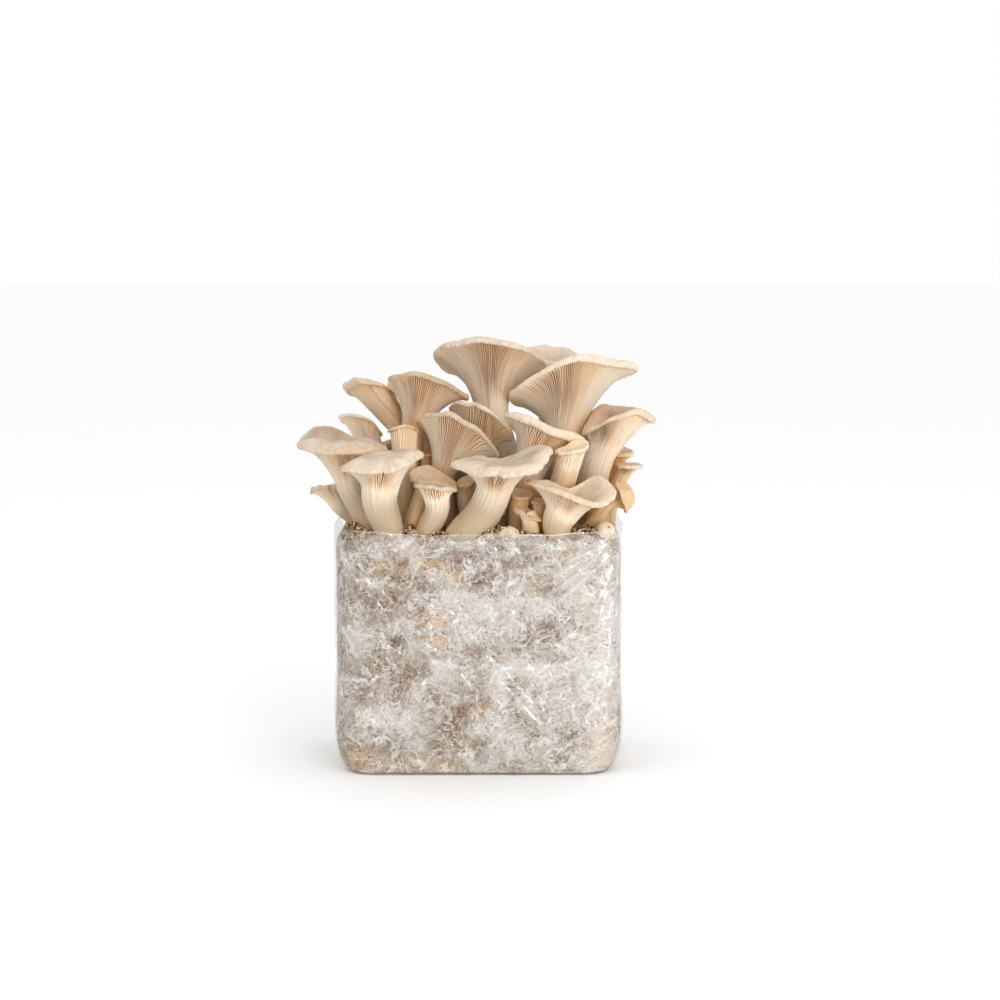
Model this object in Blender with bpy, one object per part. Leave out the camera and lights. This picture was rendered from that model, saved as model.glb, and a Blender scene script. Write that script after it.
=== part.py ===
"""Oyster mushroom grow kit: a block of sawdust grown through with mycelium, in a clear film bag whose top is cut
off, with a cluster of oyster mushrooms standing on the block. X is to the right, Y to the back and Z up. The
origin is the middle of the bag's flat base. Sizes are in millimetres and become metres as each mesh is made."""

import math

import bmesh
import bpy
import numpy as np

MM = 0.001

# The bag, by its outside
HALF_WIDTH = 102.0
HALF_DEPTH = 62.0
CORNER = 26.0
BASE_CORNER = 10.0
CORNER_HEIGHT = 60.0
BASE_ROUNDING = 21.0
SIDE_INSET = 11.5
FRONT_INSET = 1.5
SAG = 1.2
SAG_HEIGHT = 40.0
SAG_SPREAD = 17.0
RIM_HEIGHT = 173.0
RIM_SIDE_LIFT = 5.0

# What keeps the pieces apart, and the wall of the film
FILM = 0.5
GAP = 0.4
TOP = 170.0
TOP_EDGE = 6.0
FOOT_GAP = 0.3

# Lumps of mycelium on the block's top: middle (x, y), radius and height
LUMPS = ((21.5, -52, 8.5, 8.5), (90, -38, 9.0, 11.0))

CORNER_STEPS = 5
EDGE_STEPS = 2
WALL_HEIGHTS = (0.0, 2.0, 7.0, 18.0, 36.0, 60.0, 84.0)

RIGHT = np.array([1.0, 0.0, 0.0])
UP = np.array([0.0, 0.0, 1.0])


def unit(vector):
    return vector / np.linalg.norm(vector)


def principled(name, color, roughness, alpha=1.0):
    """A material with a piece's colour, roughness and, for the film, how much of it shows."""
    material = bpy.data.materials.new(name)
    material.use_nodes = True
    shader = material.node_tree.nodes["Principled BSDF"]
    shader.inputs["Base Color"].default_value = (*color, 1.0)
    shader.inputs["Roughness"].default_value = roughness
    shader.inputs["Metallic"].default_value = 0.0
    shader.inputs["Alpha"].default_value = alpha
    return material


def add_object(name, points, faces, material, sharp_degrees=None):
    """A named object from points in millimetres, smooth shaded up to the given edge angle."""
    mesh = bpy.data.meshes.new(name)
    mesh.from_pydata([tuple(point) for point in np.asarray(points) * MM], [], faces)
    mesh.materials.append(material)
    mesh.shade_smooth()
    if sharp_degrees is not None:
        mesh.set_sharp_from_angle(angle=math.radians(sharp_degrees))
    obj = bpy.data.objects.new(name, mesh)
    bpy.context.scene.collection.objects.link(obj)
    return obj


def bridged(rows, closed_start=True, closed_end=True):
    """Points and faces of a skin over rings with the same number of points, its ends closed by one face each."""
    count = len(rows[0])
    faces = []
    for row in range(len(rows) - 1):
        low, high = row * count, (row + 1) * count
        for i in range(count):
            j = (i + 1) % count
            faces.append((low + i, low + j, high + j, high + i))
    if closed_start:
        faces.append(tuple(reversed(range(count))))
    if closed_end:
        last = (len(rows) - 1) * count
        faces.append(tuple(range(last, last + count)))
    return np.concatenate(rows), faces


# ---------------------------------------------------------------- bag and block


def wall_inset(height, base_inset):
    """How far the bag's wall stands inside its full width at a height: rounded in at the base, slack above it."""
    rest = max(0.0, 1 - height / BASE_ROUNDING)
    rounding = base_inset * (1 - math.sqrt(1 - rest * rest))
    return rounding - SAG * math.exp(-(((height - SAG_HEIGHT) / SAG_SPREAD) ** 2))


def wall_corner(height):
    """The radius of the bag's four upright corners, which are sharper towards the base."""
    return CORNER - (CORNER - BASE_CORNER) * max(0.0, 1 - height / CORNER_HEIGHT)


def outline(across, along, corner):
    """Points of a rectangle with round corners, anticlockwise from the front left corner's start."""
    across -= corner
    along -= corner
    middles = ((-across, -along), (across, -along), (across, along), (-across, along))
    points = []
    for number, (x, y) in enumerate(middles):
        start = math.pi + number * math.pi / 2
        for step in range(CORNER_STEPS + 1):
            angle = start + step * math.pi / 2 / CORNER_STEPS
            points.append((x + corner * math.cos(angle), y + corner * math.sin(angle)))
        ahead = middles[(number + 1) % 4]
        out = start + math.pi / 2
        here = points[-1]
        there = (ahead[0] + corner * math.cos(out), ahead[1] + corner * math.sin(out))
        for step in range(1, EDGE_STEPS):
            share = step / EDGE_STEPS
            points.append((here[0] + (there[0] - here[0]) * share, here[1] + (there[1] - here[1]) * share))
    return np.array(points)


def wall_ring(height, depth, level=None):
    """The bag's outline at a height, a depth inside its outer face; level is where the ring is put if not there."""
    across = HALF_WIDTH - wall_inset(height, SIDE_INSET) - depth
    along = HALF_DEPTH - wall_inset(height, FRONT_INSET) - depth
    flat = outline(across, along, wall_corner(height) - depth)
    return np.column_stack([flat, np.full(len(flat), height if level is None else level)])


def rim_ring(depth):
    """The cut edge of the film, which stands a little higher towards the two narrow sides."""
    ring = wall_ring(RIM_HEIGHT, depth)
    ring[:, 2] += RIM_SIDE_LIFT * (np.abs(ring[:, 0]) / HALF_WIDTH) ** 3
    return ring


def make_film_bag(material):
    rows = [wall_ring(height, 0.0) for height in WALL_HEIGHTS]
    rows += [rim_ring(0.0), rim_ring(FILM)]
    rows += [wall_ring(height, FILM, max(height, FILM)) for height in reversed(WALL_HEIGHTS)]
    points, faces = bridged(rows)
    return add_object("film_bag", points, faces, material, sharp_degrees=50)


def make_substrate_block(material):
    side = FILM + GAP
    rows = [wall_ring(height, side, max(height, side)) for height in WALL_HEIGHTS]
    rows.append(wall_ring(TOP, side, TOP - TOP_EDGE))
    rows.append(wall_ring(TOP, side + 0.3 * TOP_EDGE, TOP - 0.3 * TOP_EDGE))
    rows.append(wall_ring(TOP, side + TOP_EDGE))
    points, faces = bridged(rows)
    block = add_object("substrate_block", points, faces, material, sharp_degrees=50)
    for number, (x, y, radius, height) in enumerate(LUMPS):
        shell = bmesh.new()
        bmesh.ops.create_uvsphere(shell, u_segments=12, v_segments=6, radius=1.0)
        bmesh.ops.scale(shell, vec=(radius * MM, radius * MM, height * MM), verts=shell.verts)
        bmesh.ops.translate(shell, vec=(x * MM, y * MM, (TOP - 0.7) * MM), verts=shell.verts)
        mesh = bpy.data.meshes.new(f"lump_{number + 1}_guide")
        shell.to_mesh(mesh)
        shell.free()
        guide = bpy.data.objects.new(mesh.name, mesh)
        bpy.context.scene.collection.objects.link(guide)
        guide.hide_render = True
        guide.display_type = "WIRE"
        union = block.modifiers.new(mesh.name, "BOOLEAN")
        union.operation = "UNION"
        union.object = guide
    return block


# ---------------------------------------------------------------- mushrooms


def side_axes(direction):
    """The two axes across a direction, the first as far to the right as it can be."""
    right = unit(RIGHT - direction * (RIGHT @ direction))
    return right, np.cross(direction, right)


def closed_curve(points, count):
    """A smooth closed curve through the points, as count points of it."""
    points = np.array(points, float)
    place = np.arange(count) * len(points) / count
    first = place.astype(int)
    share = (place - first)[:, None]
    a, b, c, d = (points[(first + step) % len(points)] for step in (-1, 0, 1, 2))
    return b + 0.5 * share * (c - a + share * (2 * a - 5 * b + 4 * c - d + share * (3 * (b - c) + d - a)))


def stem_line(stem, share):
    """Point and direction on the stem's centre line, a cubic curve from its foot to its neck."""
    p0, p1, p2, p3 = stem
    rest = 1 - share
    point = rest**3 * p0 + 3 * rest**2 * share * p1 + 3 * rest * share**2 * p2 + share**3 * p3
    slope = rest**2 * (p1 - p0) + 2 * rest * share * (p2 - p1) + share**2 * (p3 - p2)
    return point, unit(slope)


def mushroom_rows(shape, count, stem_steps, flare_steps, skin_steps):
    """The rings of a fruit body that grew in one piece, from its foot up the stem, out along the gilled underside,
    round the thick margin and back over the cap's skin to its middle."""
    foot_x, foot_y, foot_radius = shape["foot"]
    neck_x, neck_y, neck_z, neck_radius = shape["neck"]
    lip, droop, dish, crown = (shape[key] for key in ("lip", "droop", "dish", "crown"))
    rim = closed_curve(shape["rim"], count)
    foot = np.array([foot_x, foot_y, TOP + FOOT_GAP])
    neck = np.array([neck_x, neck_y, neck_z], float)

    # The cap's axis runs from the neck to the middle of the margin
    axis = unit(np.mean(shape["rim"], axis=0) - neck)
    height = (rim - neck) @ axis
    spoke = rim - neck - np.outer(height, axis)
    reach = np.linalg.norm(spoke, axis=1)
    spoke /= reach[:, None]
    right, ahead = side_axes(axis)
    turn = np.column_stack([spoke @ right, spoke @ ahead])

    pull = 0.38 * np.linalg.norm(neck - foot)
    start = unit(np.array([*shape["lean"], 1.0]))
    stem = (foot, foot + start * pull, neck - axis * pull, neck)
    rows = []
    for share in stem_steps:
        point, direction = stem_line(stem, share)
        radius = foot_radius + (neck_radius - foot_radius) * share
        rows.append(point + radius * turn @ np.array(side_axes(UP if share == 0 else direction)))

    def cap_ring(out, up):
        return neck + np.asarray(out)[:, None] * spoke + np.outer(up, axis)

    width = reach - neck_radius
    for t in flare_steps:
        b1, b2, b3 = 3 * (1 - t) ** 2 * t, 3 * (1 - t) * t**2, t**3
        out = width * (0.05 * b1 + 0.6 * b2 + b3)
        rows.append(cap_ring(neck_radius + out, height * (0.45 * b1 + 0.95 * b2 + b3) + droop * b2))
    rows.append(cap_ring(reach + 0.25 * lip, height + 0.4 * lip))
    edge = cap_ring(reach - 0.25 * lip, height + lip)
    middle = neck + axis * (height.mean() + lip - dish)
    rows.append(edge)
    for s in skin_steps:
        rows.append(middle + (edge - middle) * s + axis * crown * 6.75 * s * s * (1 - s))
    return rows


# Each mushroom by its foot (x, y, radius), its neck where the stem starts to widen (x, y, z, radius) and eight
# points of its gills' outer edge: right, back right, back, back left, left, front left, front and front right.
# lip is the margin's thickness, dish how far the cap's middle lies below the margin, crown how far its skin
# arches between them, droop how far the gills arch before the edge and lean how the stem starts off sideways.
MUSHROOMS = {
    "tall_left": dict(
        foot=(32, 23, 12), neck=(9, 20, 256, 12.5), lip=4.5, dish=20,
        rim=((50, 16, 285), (40, 42, 279), (9, 53, 275.5), (-22, 43, 279.5),
             (-32, 18, 293), (-23, -6, 300), (2, -18, 305), (31, -8, 299)),
    ),
    "tall_right": dict(
        foot=(61, 17, 11.5), neck=(62, 12, 238, 13), lip=5.5, dish=22,
        rim=((113, 8, 284), (106, 36, 276), (72, 45, 267), (37, 34, 256),
             (23, 6, 262.5), (39, -16, 278), (69, -26, 292), (95, -16, 288)),
    ),
    "tall_back": dict(
        foot=(45, 44, 8), neck=(54, 58, 268, 8.5), lip=4, dish=9,
        rim=((75, 60, 289), (69, 72, 292.5), (54, 79, 294.5), (39, 72, 294.5),
             (32, 58, 292.5), (38, 45, 288), (54, 37, 285.5), (69, 45, 286)),
    ),
    "left_twin_large": dict(
        foot=(-50, 14, 9), neck=(-47, 8, 243, 9.5), lip=3.8, dish=16,
        rim=((-9, 6, 263), (-14, 26, 262), (-38, 34, 262), (-57, 22, 267),
             (-66, 4, 272), (-62, -8, 278), (-49, -16, 281), (-27, -10, 275)),
    ),
    "left_twin_small": dict(
        foot=(-66, 27, 6.5), neck=(-54.8, 28, 238, 9), lip=6, dish=4, crown=1.5, sides=12,
        rim=((-61.5, 27, 264.5), (-64, 36, 262), (-78, 39, 261), (-91, 32, 263),
             (-96, 14, 268), (-91, 0, 272), (-80, -6, 275), (-68, 8, 271)),
    ),
    "left_back_small": dict(
        foot=(-84, 29, 7.5), neck=(-78, 27, 222, 8), lip=2.5, dish=8, sides=12,
        rim=((-72, 26, 234), (-74, 38, 237), (-84, 43, 240), (-98, 36, 243),
             (-103, 24, 247), (-99, 14, 249), (-90, 8, 250), (-77, 12, 245)),
    ),
    "left_shelf": dict(
        foot=(-77, -33, 9.5), neck=(-92, -24, 206, 10.5), lip=4.5, dish=-1, droop=3, crown=3,
        rim=((-66, -22, 228), (-84, -10, 231), (-103, -4, 237.5), (-118, -8, 239.5),
             (-128, -22, 231), (-121, -38, 229), (-96, -47, 228), (-77, -37, 227)),
    ),
    "front_left": dict(
        foot=(-62, -50, 9.5), neck=(-69, -54, 203, 13), lip=4.5, dish=-3, crown=2.5,
        rim=((-40, -54, 226), (-46, -42, 224.5), (-65, -38, 224), (-82, -44, 221.5),
             (-95, -56, 218), (-85, -68, 217), (-68, -76, 217), (-51, -70, 221)),
    ),
    "far_left_low": dict(
        foot=(-87, 2, 6), neck=(-103, 3, 187, 6.3), lip=2.5, dish=4, sides=12,
        rim=((-92, 2, 196), (-98, 12, 195), (-110, 15, 195), (-119, 11, 193),
             (-122, 2, 195), (-118, -7, 198), (-111, -11, 200), (-101, -8, 199)),
    ),
    "left_stump": dict(
        foot=(-53, -11, 9), neck=(-53.5, -13, 214, 8.6), lip=2.2, dish=8, sides=12,
        rim=((-43.5, -13, 240), (-46, -7, 240), (-52, -4.5, 241), (-59.5, -7, 242),
             (-64, -13, 241), (-61, -20, 243), (-52, -23, 245), (-45.5, -19.5, 243)),
    ),
    "middle_left": dict(
        foot=(-24, -10, 8.5), neck=(-26, -11, 212, 9), lip=4, dish=16,
        rim=((13, -21, 224), (0, -12, 227), (-18, 1, 232), (-36, 2, 240),
             (-45, -10, 247), (-38, -28, 252), (-20, -38, 253), (-1, -34, 242)),
    ),
    "middle_back": dict(
        foot=(-6, 9, 8.5), neck=(-2, 7.5, 219, 8.8), lip=3.5, dish=14,
        rim=((22.5, -8, 234), (15, -1, 237), (4, 3, 241.5), (-13, 15, 247),
             (-21, 5, 255), (-14, -14, 260), (3, -22, 257), (15, -17, 248.5)),
    ),
    "front_pair_rear": dict(
        foot=(-47, -34, 6.5), neck=(-39, -31, 197, 7), lip=3, dish=5, sides=12,
        rim=((-16, -29, 203), (-27, -23, 210), (-37, -21, 215), (-46, -22, 214),
             (-49, -29, 210), (-47, -35, 207), (-33, -39, 203), (-21, -36, 202)),
    ),
    "front_pair_front": dict(
        foot=(-37, -46, 8), neck=(-29, -48, 195, 9), lip=3, dish=3, sides=12,
        rim=((-15, -48, 202), (-20, -41, 204), (-31, -40, 206), (-40, -42, 206),
             (-45, -48, 205), (-41, -54, 205), (-31, -58, 204), (-21, -55, 203)),
    ),
    "front_centre": dict(
        foot=(-13, -47, 13), neck=(11, -50, 203, 12.5), lip=4.5, dish=4, crown=3, lean=(1.0, 0.0),
        rim=((51, -54, 228), (41, -40, 229), (16, -38, 219.5), (-8, -36, 220.5),
             (-18, -50, 220), (-5, -68, 216), (13, -76, 215), (36, -70, 216)),
    ),
    "front_shadow": dict(
        foot=(-5, -25, 5), neck=(-10, -25, 193, 5.5), lip=2.5, dish=4, sides=8,
        rim=((-2, -25, 206), (-5, -19, 208), (-10, -17, 207), (-15, -19, 204),
             (-16, -25, 202), (-14, -30, 202), (-10, -32, 203), (-5, -31, 204)),
    ),
    "left_gap": dict(
        foot=(-37, 0, 4.5), neck=(-38, 0, 214, 4.5), lip=2, dish=4, sides=8,
        rim=((-31, 0, 224), (-33, 4, 225), (-37, 6, 225), (-41, 4, 224),
             (-43, 0, 223), (-41, -4, 222), (-37, -6, 222), (-33, -4, 223)),
    ),
    "right_folded": dict(
        foot=(38, -12, 10), neck=(36.6, -14.6, 214, 12), lip=5.2, dish=2, droop=6, crown=2,
        rim=((75, -24, 233.5), (66, -13, 235), (47, -8, 237), (29, -11, 239),
             (19.5, -23, 250.5), (28, -34, 251), (46, -39, 243.5), (63, -36, 236.5)),
    ),
    "right_folded_small": dict(
        foot=(55, -28, 8), neck=(63.5, -36, 219, 9), lip=3, dish=4, sides=12,
        rim=((77, -41, 232), (76, -35.5, 234.5), (68, -34.5, 234.5), (60, -36, 231),
             (54.5, -41, 228.5), (58, -46, 227), (66, -48.5, 228), (74.5, -46.5, 230)),
    ),
    "right_leaning": dict(
        foot=(83, 1, 11.5), neck=(88, -1, 225, 12), lip=5, dish=14, droop=3,
        rim=((126, 0, 246), (117, 15, 251), (100, 24, 252), (88.6, 21, 254),
             (76, -6, 239), (84, -16, 243), (97, -22, 250), (113, -16, 253)),
    ),
    "right_small_upper": dict(
        foot=(91, 23, 4), neck=(102, 18, 215, 4.5), lip=2.5, dish=2, sides=8,
        rim=((113, 17, 221), (110, 22, 223), (105, 24, 224), (100, 22, 224),
             (97, 17, 222), (99, 12.5, 221), (105, 10.5, 220), (110, 12.5, 220)),
    ),
    "right_small_lower": dict(
        foot=(96, 12.5, 4.4), neck=(105.5, 5.5, 208.5, 5.4), lip=2.5, dish=2, sides=8,
        rim=((119, 3, 213), (115, 10.5, 214), (108, 13, 214.5), (102, 11.5, 214.5),
             (99.5, 6, 214.5), (102, -3.5, 214), (107, -7, 213.5), (115, -4, 213)),
    ),
    "front_right": dict(
        foot=(56, -51, 8.5), neck=(58, -52, 185, 12), lip=4, dish=16,
        rim=((96, -42, 200), (83, -35, 208), (63, -45, 201), (46, -43.5, 207),
             (35, -52, 207), (53, -66, 203), (71, -68, 196), (88, -58, 192)),
    ),
    "right_curled": dict(
        foot=(77, -25, 6), neck=(96, -24, 192, 5.2), lip=2, dish=-8, crown=3, lean=(1.1, 0.0), sides=12,
        rim=((105, -24, 184), (105, -16, 187), (103, -13, 194), (100, -16, 202),
             (98, -24, 205), (99, -32, 202), (102, -35, 194), (105, -32, 187)),
    ),
    "front_button": dict(
        foot=(37, -48, 6), neck=(36, -49, 183, 5.6), lip=2.5, dish=0, sides=8,
        rim=((45, -49, 181), (41, -43, 184), (36, -41, 186), (30, -43, 188),
             (26, -49, 188), (29, -54, 187), (35, -56, 184), (41, -54, 182)),
    ),
    "front_stub": dict(
        foot=(43, -35, 4.5), neck=(43, -36, 188, 4.6), lip=1.5, dish=2, sides=8,
        rim=((48, -36, 192), (47, -32, 193), (43, -31, 194), (39, -32, 194),
             (38, -36, 193), (39, -40, 192), (43, -41, 192), (47, -40, 191)),
    ),
    "front_cup": dict(
        foot=(28, -32, 6), neck=(29, -31, 190, 7), lip=2, dish=6, sides=12,
        rim=((38, -31.5, 196), (36, -26.5, 198), (31, -24, 199.5), (25, -25, 200),
             (22, -31, 198), (24, -38, 196), (30, -40, 195), (36, -38, 195)),
    ),
    "back_left_shelf": dict(
        foot=(-68, 46, 9), neck=(-76, 54, 204, 10), lip=4.5, dish=7, droop=3, crown=1,
        rim=((-56, 62, 224), (-62, 80, 220), (-82, 90, 216), (-104, 83, 215),
             (-113, 64, 218), (-104, 47, 223), (-84, 41, 226), (-65, 45, 226)),
    ),
    "back_left": dict(
        foot=(-38, 44, 10), neck=(-37, 54, 214, 10.5), lip=4.5, dish=14, droop=3,
        rim=((-7, 64, 236), (-14, 84, 230), (-36, 94, 226), (-58, 86, 229),
             (-66, 66, 236), (-58, 47, 243), (-36, 39, 246), (-14, 46, 243)),
    ),
    "back_middle": dict(
        foot=(-6, 46, 10.5), neck=(-2, 56, 194, 10.5), lip=4.5, dish=9, droop=3,
        rim=((28, 68, 213), (21, 86, 208), (2, 94, 205), (-18, 87, 207),
             (-25, 70, 212), (-18, 52, 218), (2, 45, 220), (21, 51, 217)),
    ),
    "back_middle_low": dict(
        foot=(24, 52, 6.5), neck=(28, 60, 184, 6.5), lip=3, dish=3, crown=1, sides=12,
        rim=((43, 66, 193), (39, 75, 191), (30, 79, 190), (21, 75, 191),
             (18, 66, 193), (21, 58, 195), (30, 54, 196), (39, 58, 195)),
    ),
    "back_right": dict(
        foot=(74, 44, 9.5), neck=(80, 53, 210, 10), lip=4.5, dish=10, droop=3,
        rim=((107, 62, 226), (101, 78, 221), (84, 87, 218), (68, 80, 221),
             (63, 64, 227), (68, 49, 232), (84, 41, 234), (101, 47, 231)),
    ),
    "back_right_low": dict(
        foot=(60, 51, 4.5), neck=(57, 57, 187, 5), lip=2.5, dish=2, crown=1, sides=12,
        rim=((68, 65, 195), (65, 74, 193), (57, 78, 192), (49, 74, 193),
             (46, 65, 195), (49, 58, 197), (57, 55, 198), (65, 58, 197)),
    ),
    "back_far_left_low": dict(
        foot=(-85, 43, 5), neck=(-95, 50, 187, 5.5), lip=2.5, dish=3, crown=1, sides=12,
        rim=((-89, 56, 195), (-92, 65, 192), (-101, 69, 190), (-110, 65, 190),
             (-113, 57, 192), (-110, 49, 195), (-101, 45, 197), (-92, 48, 197)),
    ),
    "back_gap": dict(
        foot=(-18, 27, 6), neck=(-17, 28, 213, 6), lip=2.5, dish=5, sides=12,
        rim=((-5, 29, 225), (-8, 37, 223), (-16, 40, 222), (-24, 37, 223),
             (-27, 29, 225), (-24, 21, 227), (-16, 18, 228), (-8, 21, 227)),
    ),
}
HABIT = dict(droop=1.5, crown=0.0, lean=(0.0, 0.0), sides=16)
FLARE_STEPS = (0, 0.4, 0.75, 1)
SKIN_STEPS = (0.45,)


def make_mushroom(name, shape, material):
    stem_steps = (0, 0.33, 0.66) if any(shape["lean"]) else (0, 0.5)
    points, faces = bridged(mushroom_rows(shape, shape["sides"], stem_steps, FLARE_STEPS, SKIN_STEPS))
    return add_object(name, points, faces, material)


def main():
    for obj in list(bpy.data.objects):
        bpy.data.objects.remove(obj)
    make_film_bag(principled("clear_film", (0.86, 0.88, 0.90), 0.12, alpha=0.35))
    make_substrate_block(principled("colonised_sawdust", (0.62, 0.57, 0.50), 0.9))
    for name, shape in MUSHROOMS.items():
        name = "mushroom_" + name
        make_mushroom(name, HABIT | shape, principled(name + "_flesh", (0.76, 0.66, 0.53), 0.55))


main()
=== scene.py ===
"""Oyster mushroom grow kit in its finished form: the mushrooms with their gills, the block of sawdust grown through
with mycelium, the crumbs on its top and the wrinkled clear film round it, in a plain studio. Sizes are in
millimetres and become metres as each mesh is made. X is to the right, Y to the back and Z up."""

import math

import bpy
import numpy as np
from bpy.props import FloatProperty, FloatVectorProperty, IntProperty, PointerProperty
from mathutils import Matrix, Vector, noise


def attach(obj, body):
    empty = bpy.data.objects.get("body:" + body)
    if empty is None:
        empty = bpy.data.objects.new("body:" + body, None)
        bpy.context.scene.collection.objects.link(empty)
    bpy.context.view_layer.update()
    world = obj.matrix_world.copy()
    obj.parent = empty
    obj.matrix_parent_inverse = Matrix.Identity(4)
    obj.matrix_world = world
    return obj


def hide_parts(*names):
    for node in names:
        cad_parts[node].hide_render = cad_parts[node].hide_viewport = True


bl_info = {
    "name": "Oyster mushroom grow kit",
    "version": (1, 0, 0),
    "blender": (4, 5, 0),
    "location": "3D View > Sidebar > Grow kit",
    "description": "Mushrooms, colonised block, crumbs and clear film bag in their finished form",
    "category": "Object",
}

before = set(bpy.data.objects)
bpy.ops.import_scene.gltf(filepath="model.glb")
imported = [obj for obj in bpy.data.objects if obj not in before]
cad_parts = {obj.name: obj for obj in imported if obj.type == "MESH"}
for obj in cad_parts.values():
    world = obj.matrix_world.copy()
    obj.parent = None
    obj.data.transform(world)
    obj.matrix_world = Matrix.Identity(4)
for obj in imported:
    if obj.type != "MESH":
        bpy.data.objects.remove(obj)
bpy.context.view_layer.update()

MM = 0.001
BODY = "root"
RIGHT = np.array([1.0, 0.0, 0.0])
UP = np.array([0.0, 0.0, 1.0])
TURN = 2 * math.pi

# The bag, by its outside, and the block inside it
HALF_WIDTH = 102.0
HALF_DEPTH = 62.0
CORNER = 26.0
BASE_ROUNDING = 21.0
SIDE_INSET = 11.5
FRONT_INSET = 1.5
SAG = 1.2
SAG_HEIGHT = 40.0
SAG_SPREAD = 17.0
RIM_HEIGHT = 173.0
RIM_SIDE_LIFT = 5.0
TOP = 170.0
FILM_GAP = 0.9
WALL_HEIGHTS = (0.0, 2.0, 7.0, 18.0, 36.0, 60.0, 84.0, 110.0, 140.0)

# Lumps of mycelium on the block's top: middle (x, y), radius and height
LUMPS = ((21.5, -52, 8.5, 8.0), (90, -38, 9.0, 9.5))


# ---------------------------------------------------------------- numbers


def unit(vector):
    return vector / np.linalg.norm(vector)


def smooth(low, high, value):
    """0 below low, 1 above high and an even curve between them."""
    share = np.clip((np.asarray(value, float) - low) / (high - low), 0, 1)
    return share * share * (3 - 2 * share)


def bell(away, width):
    """1 at no distance, and less on both sides of it, evenly."""
    return np.exp(-((away / width) ** 2))


def ripples(rng, turn, along, rounds, per_mm, terms=6):
    """Uneven waves of about 1 in height: turn goes from 0 to 1 round an axis and along is in mm beside it."""
    total = 0.0
    for _ in range(terms):
        round_it = TURN * (rng.integers(*rounds) * turn + rng.random())
        total = total + np.sin(round_it + along * rng.uniform(-per_mm, per_mm))
    return total / math.sqrt(terms / 2)


def waver(rng, rounds, per_mm, terms):
    """A fixed set of uneven waves, to be read again and again at a turn and a height."""
    seed = int(rng.integers(1 << 30))
    return lambda turn, along: ripples(np.random.default_rng(seed), turn, along, rounds, per_mm, terms)


def side_axes(direction):
    """The two axes across a direction, the first as far to the right as it can be."""
    right = unit(RIGHT - direction * (RIGHT @ direction))
    return np.array([right, np.cross(direction, right)])


def closed_curve(points, count):
    """A smooth closed curve through the points, as count points of it."""
    points = np.array(points, float)
    place = np.arange(count) * len(points) / count
    first = place.astype(int)
    share = (place - first)[:, None]
    a, b, c, d = (points[(first + step) % len(points)] for step in (-1, 0, 1, 2))
    return b + 0.5 * share * (c - a + share * (2 * a - 5 * b + 4 * c - d + share * (3 * (b - c) + d - a)))


def cubic(controls, share):
    """A point, or a row of numbers, on a cubic curve by its four controls."""
    a, b, c, d = controls
    rest = 1 - share
    return rest**3 * a + 3 * rest**2 * share * b + 3 * rest * share**2 * c + share**3 * d


def seen(*parts):
    """A colour's red, green and blue as they are seen, in steps of 255, made the linear light that a shader takes."""
    return tuple(((part / 255 + 0.055) / 1.055) ** 2.4 for part in parts)


# ---------------------------------------------------------------- materials


def math_node(operation, order=1):
    """A method of Value that adds a Math node for it and the other term, or the other way round if order is -1."""
    return lambda *terms: terms[0].finish.operate("ShaderNodeMath", operation, *terms[::order])


class Value:
    """A number that varies over a surface. Sums on it add the Math nodes that work them out."""

    def __init__(self, finish, socket):
        self.finish = finish
        self.socket = socket

    __add__ = __radd__ = math_node("ADD")
    __mul__ = __rmul__ = math_node("MULTIPLY")
    __sub__ = math_node("SUBTRACT")
    __rsub__ = math_node("SUBTRACT", -1)
    __pow__ = math_node("POWER")
    __abs__ = math_node("ABSOLUTE")

    def above(self, low, high):
        """0 below low, 1 above high and an even curve between."""
        inputs = {"Value": self, "From Min": low, "From Max": high}
        return self.finish.add("ShaderNodeMapRange", {"interpolation_type": "SMOOTHSTEP"}, inputs)


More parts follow.
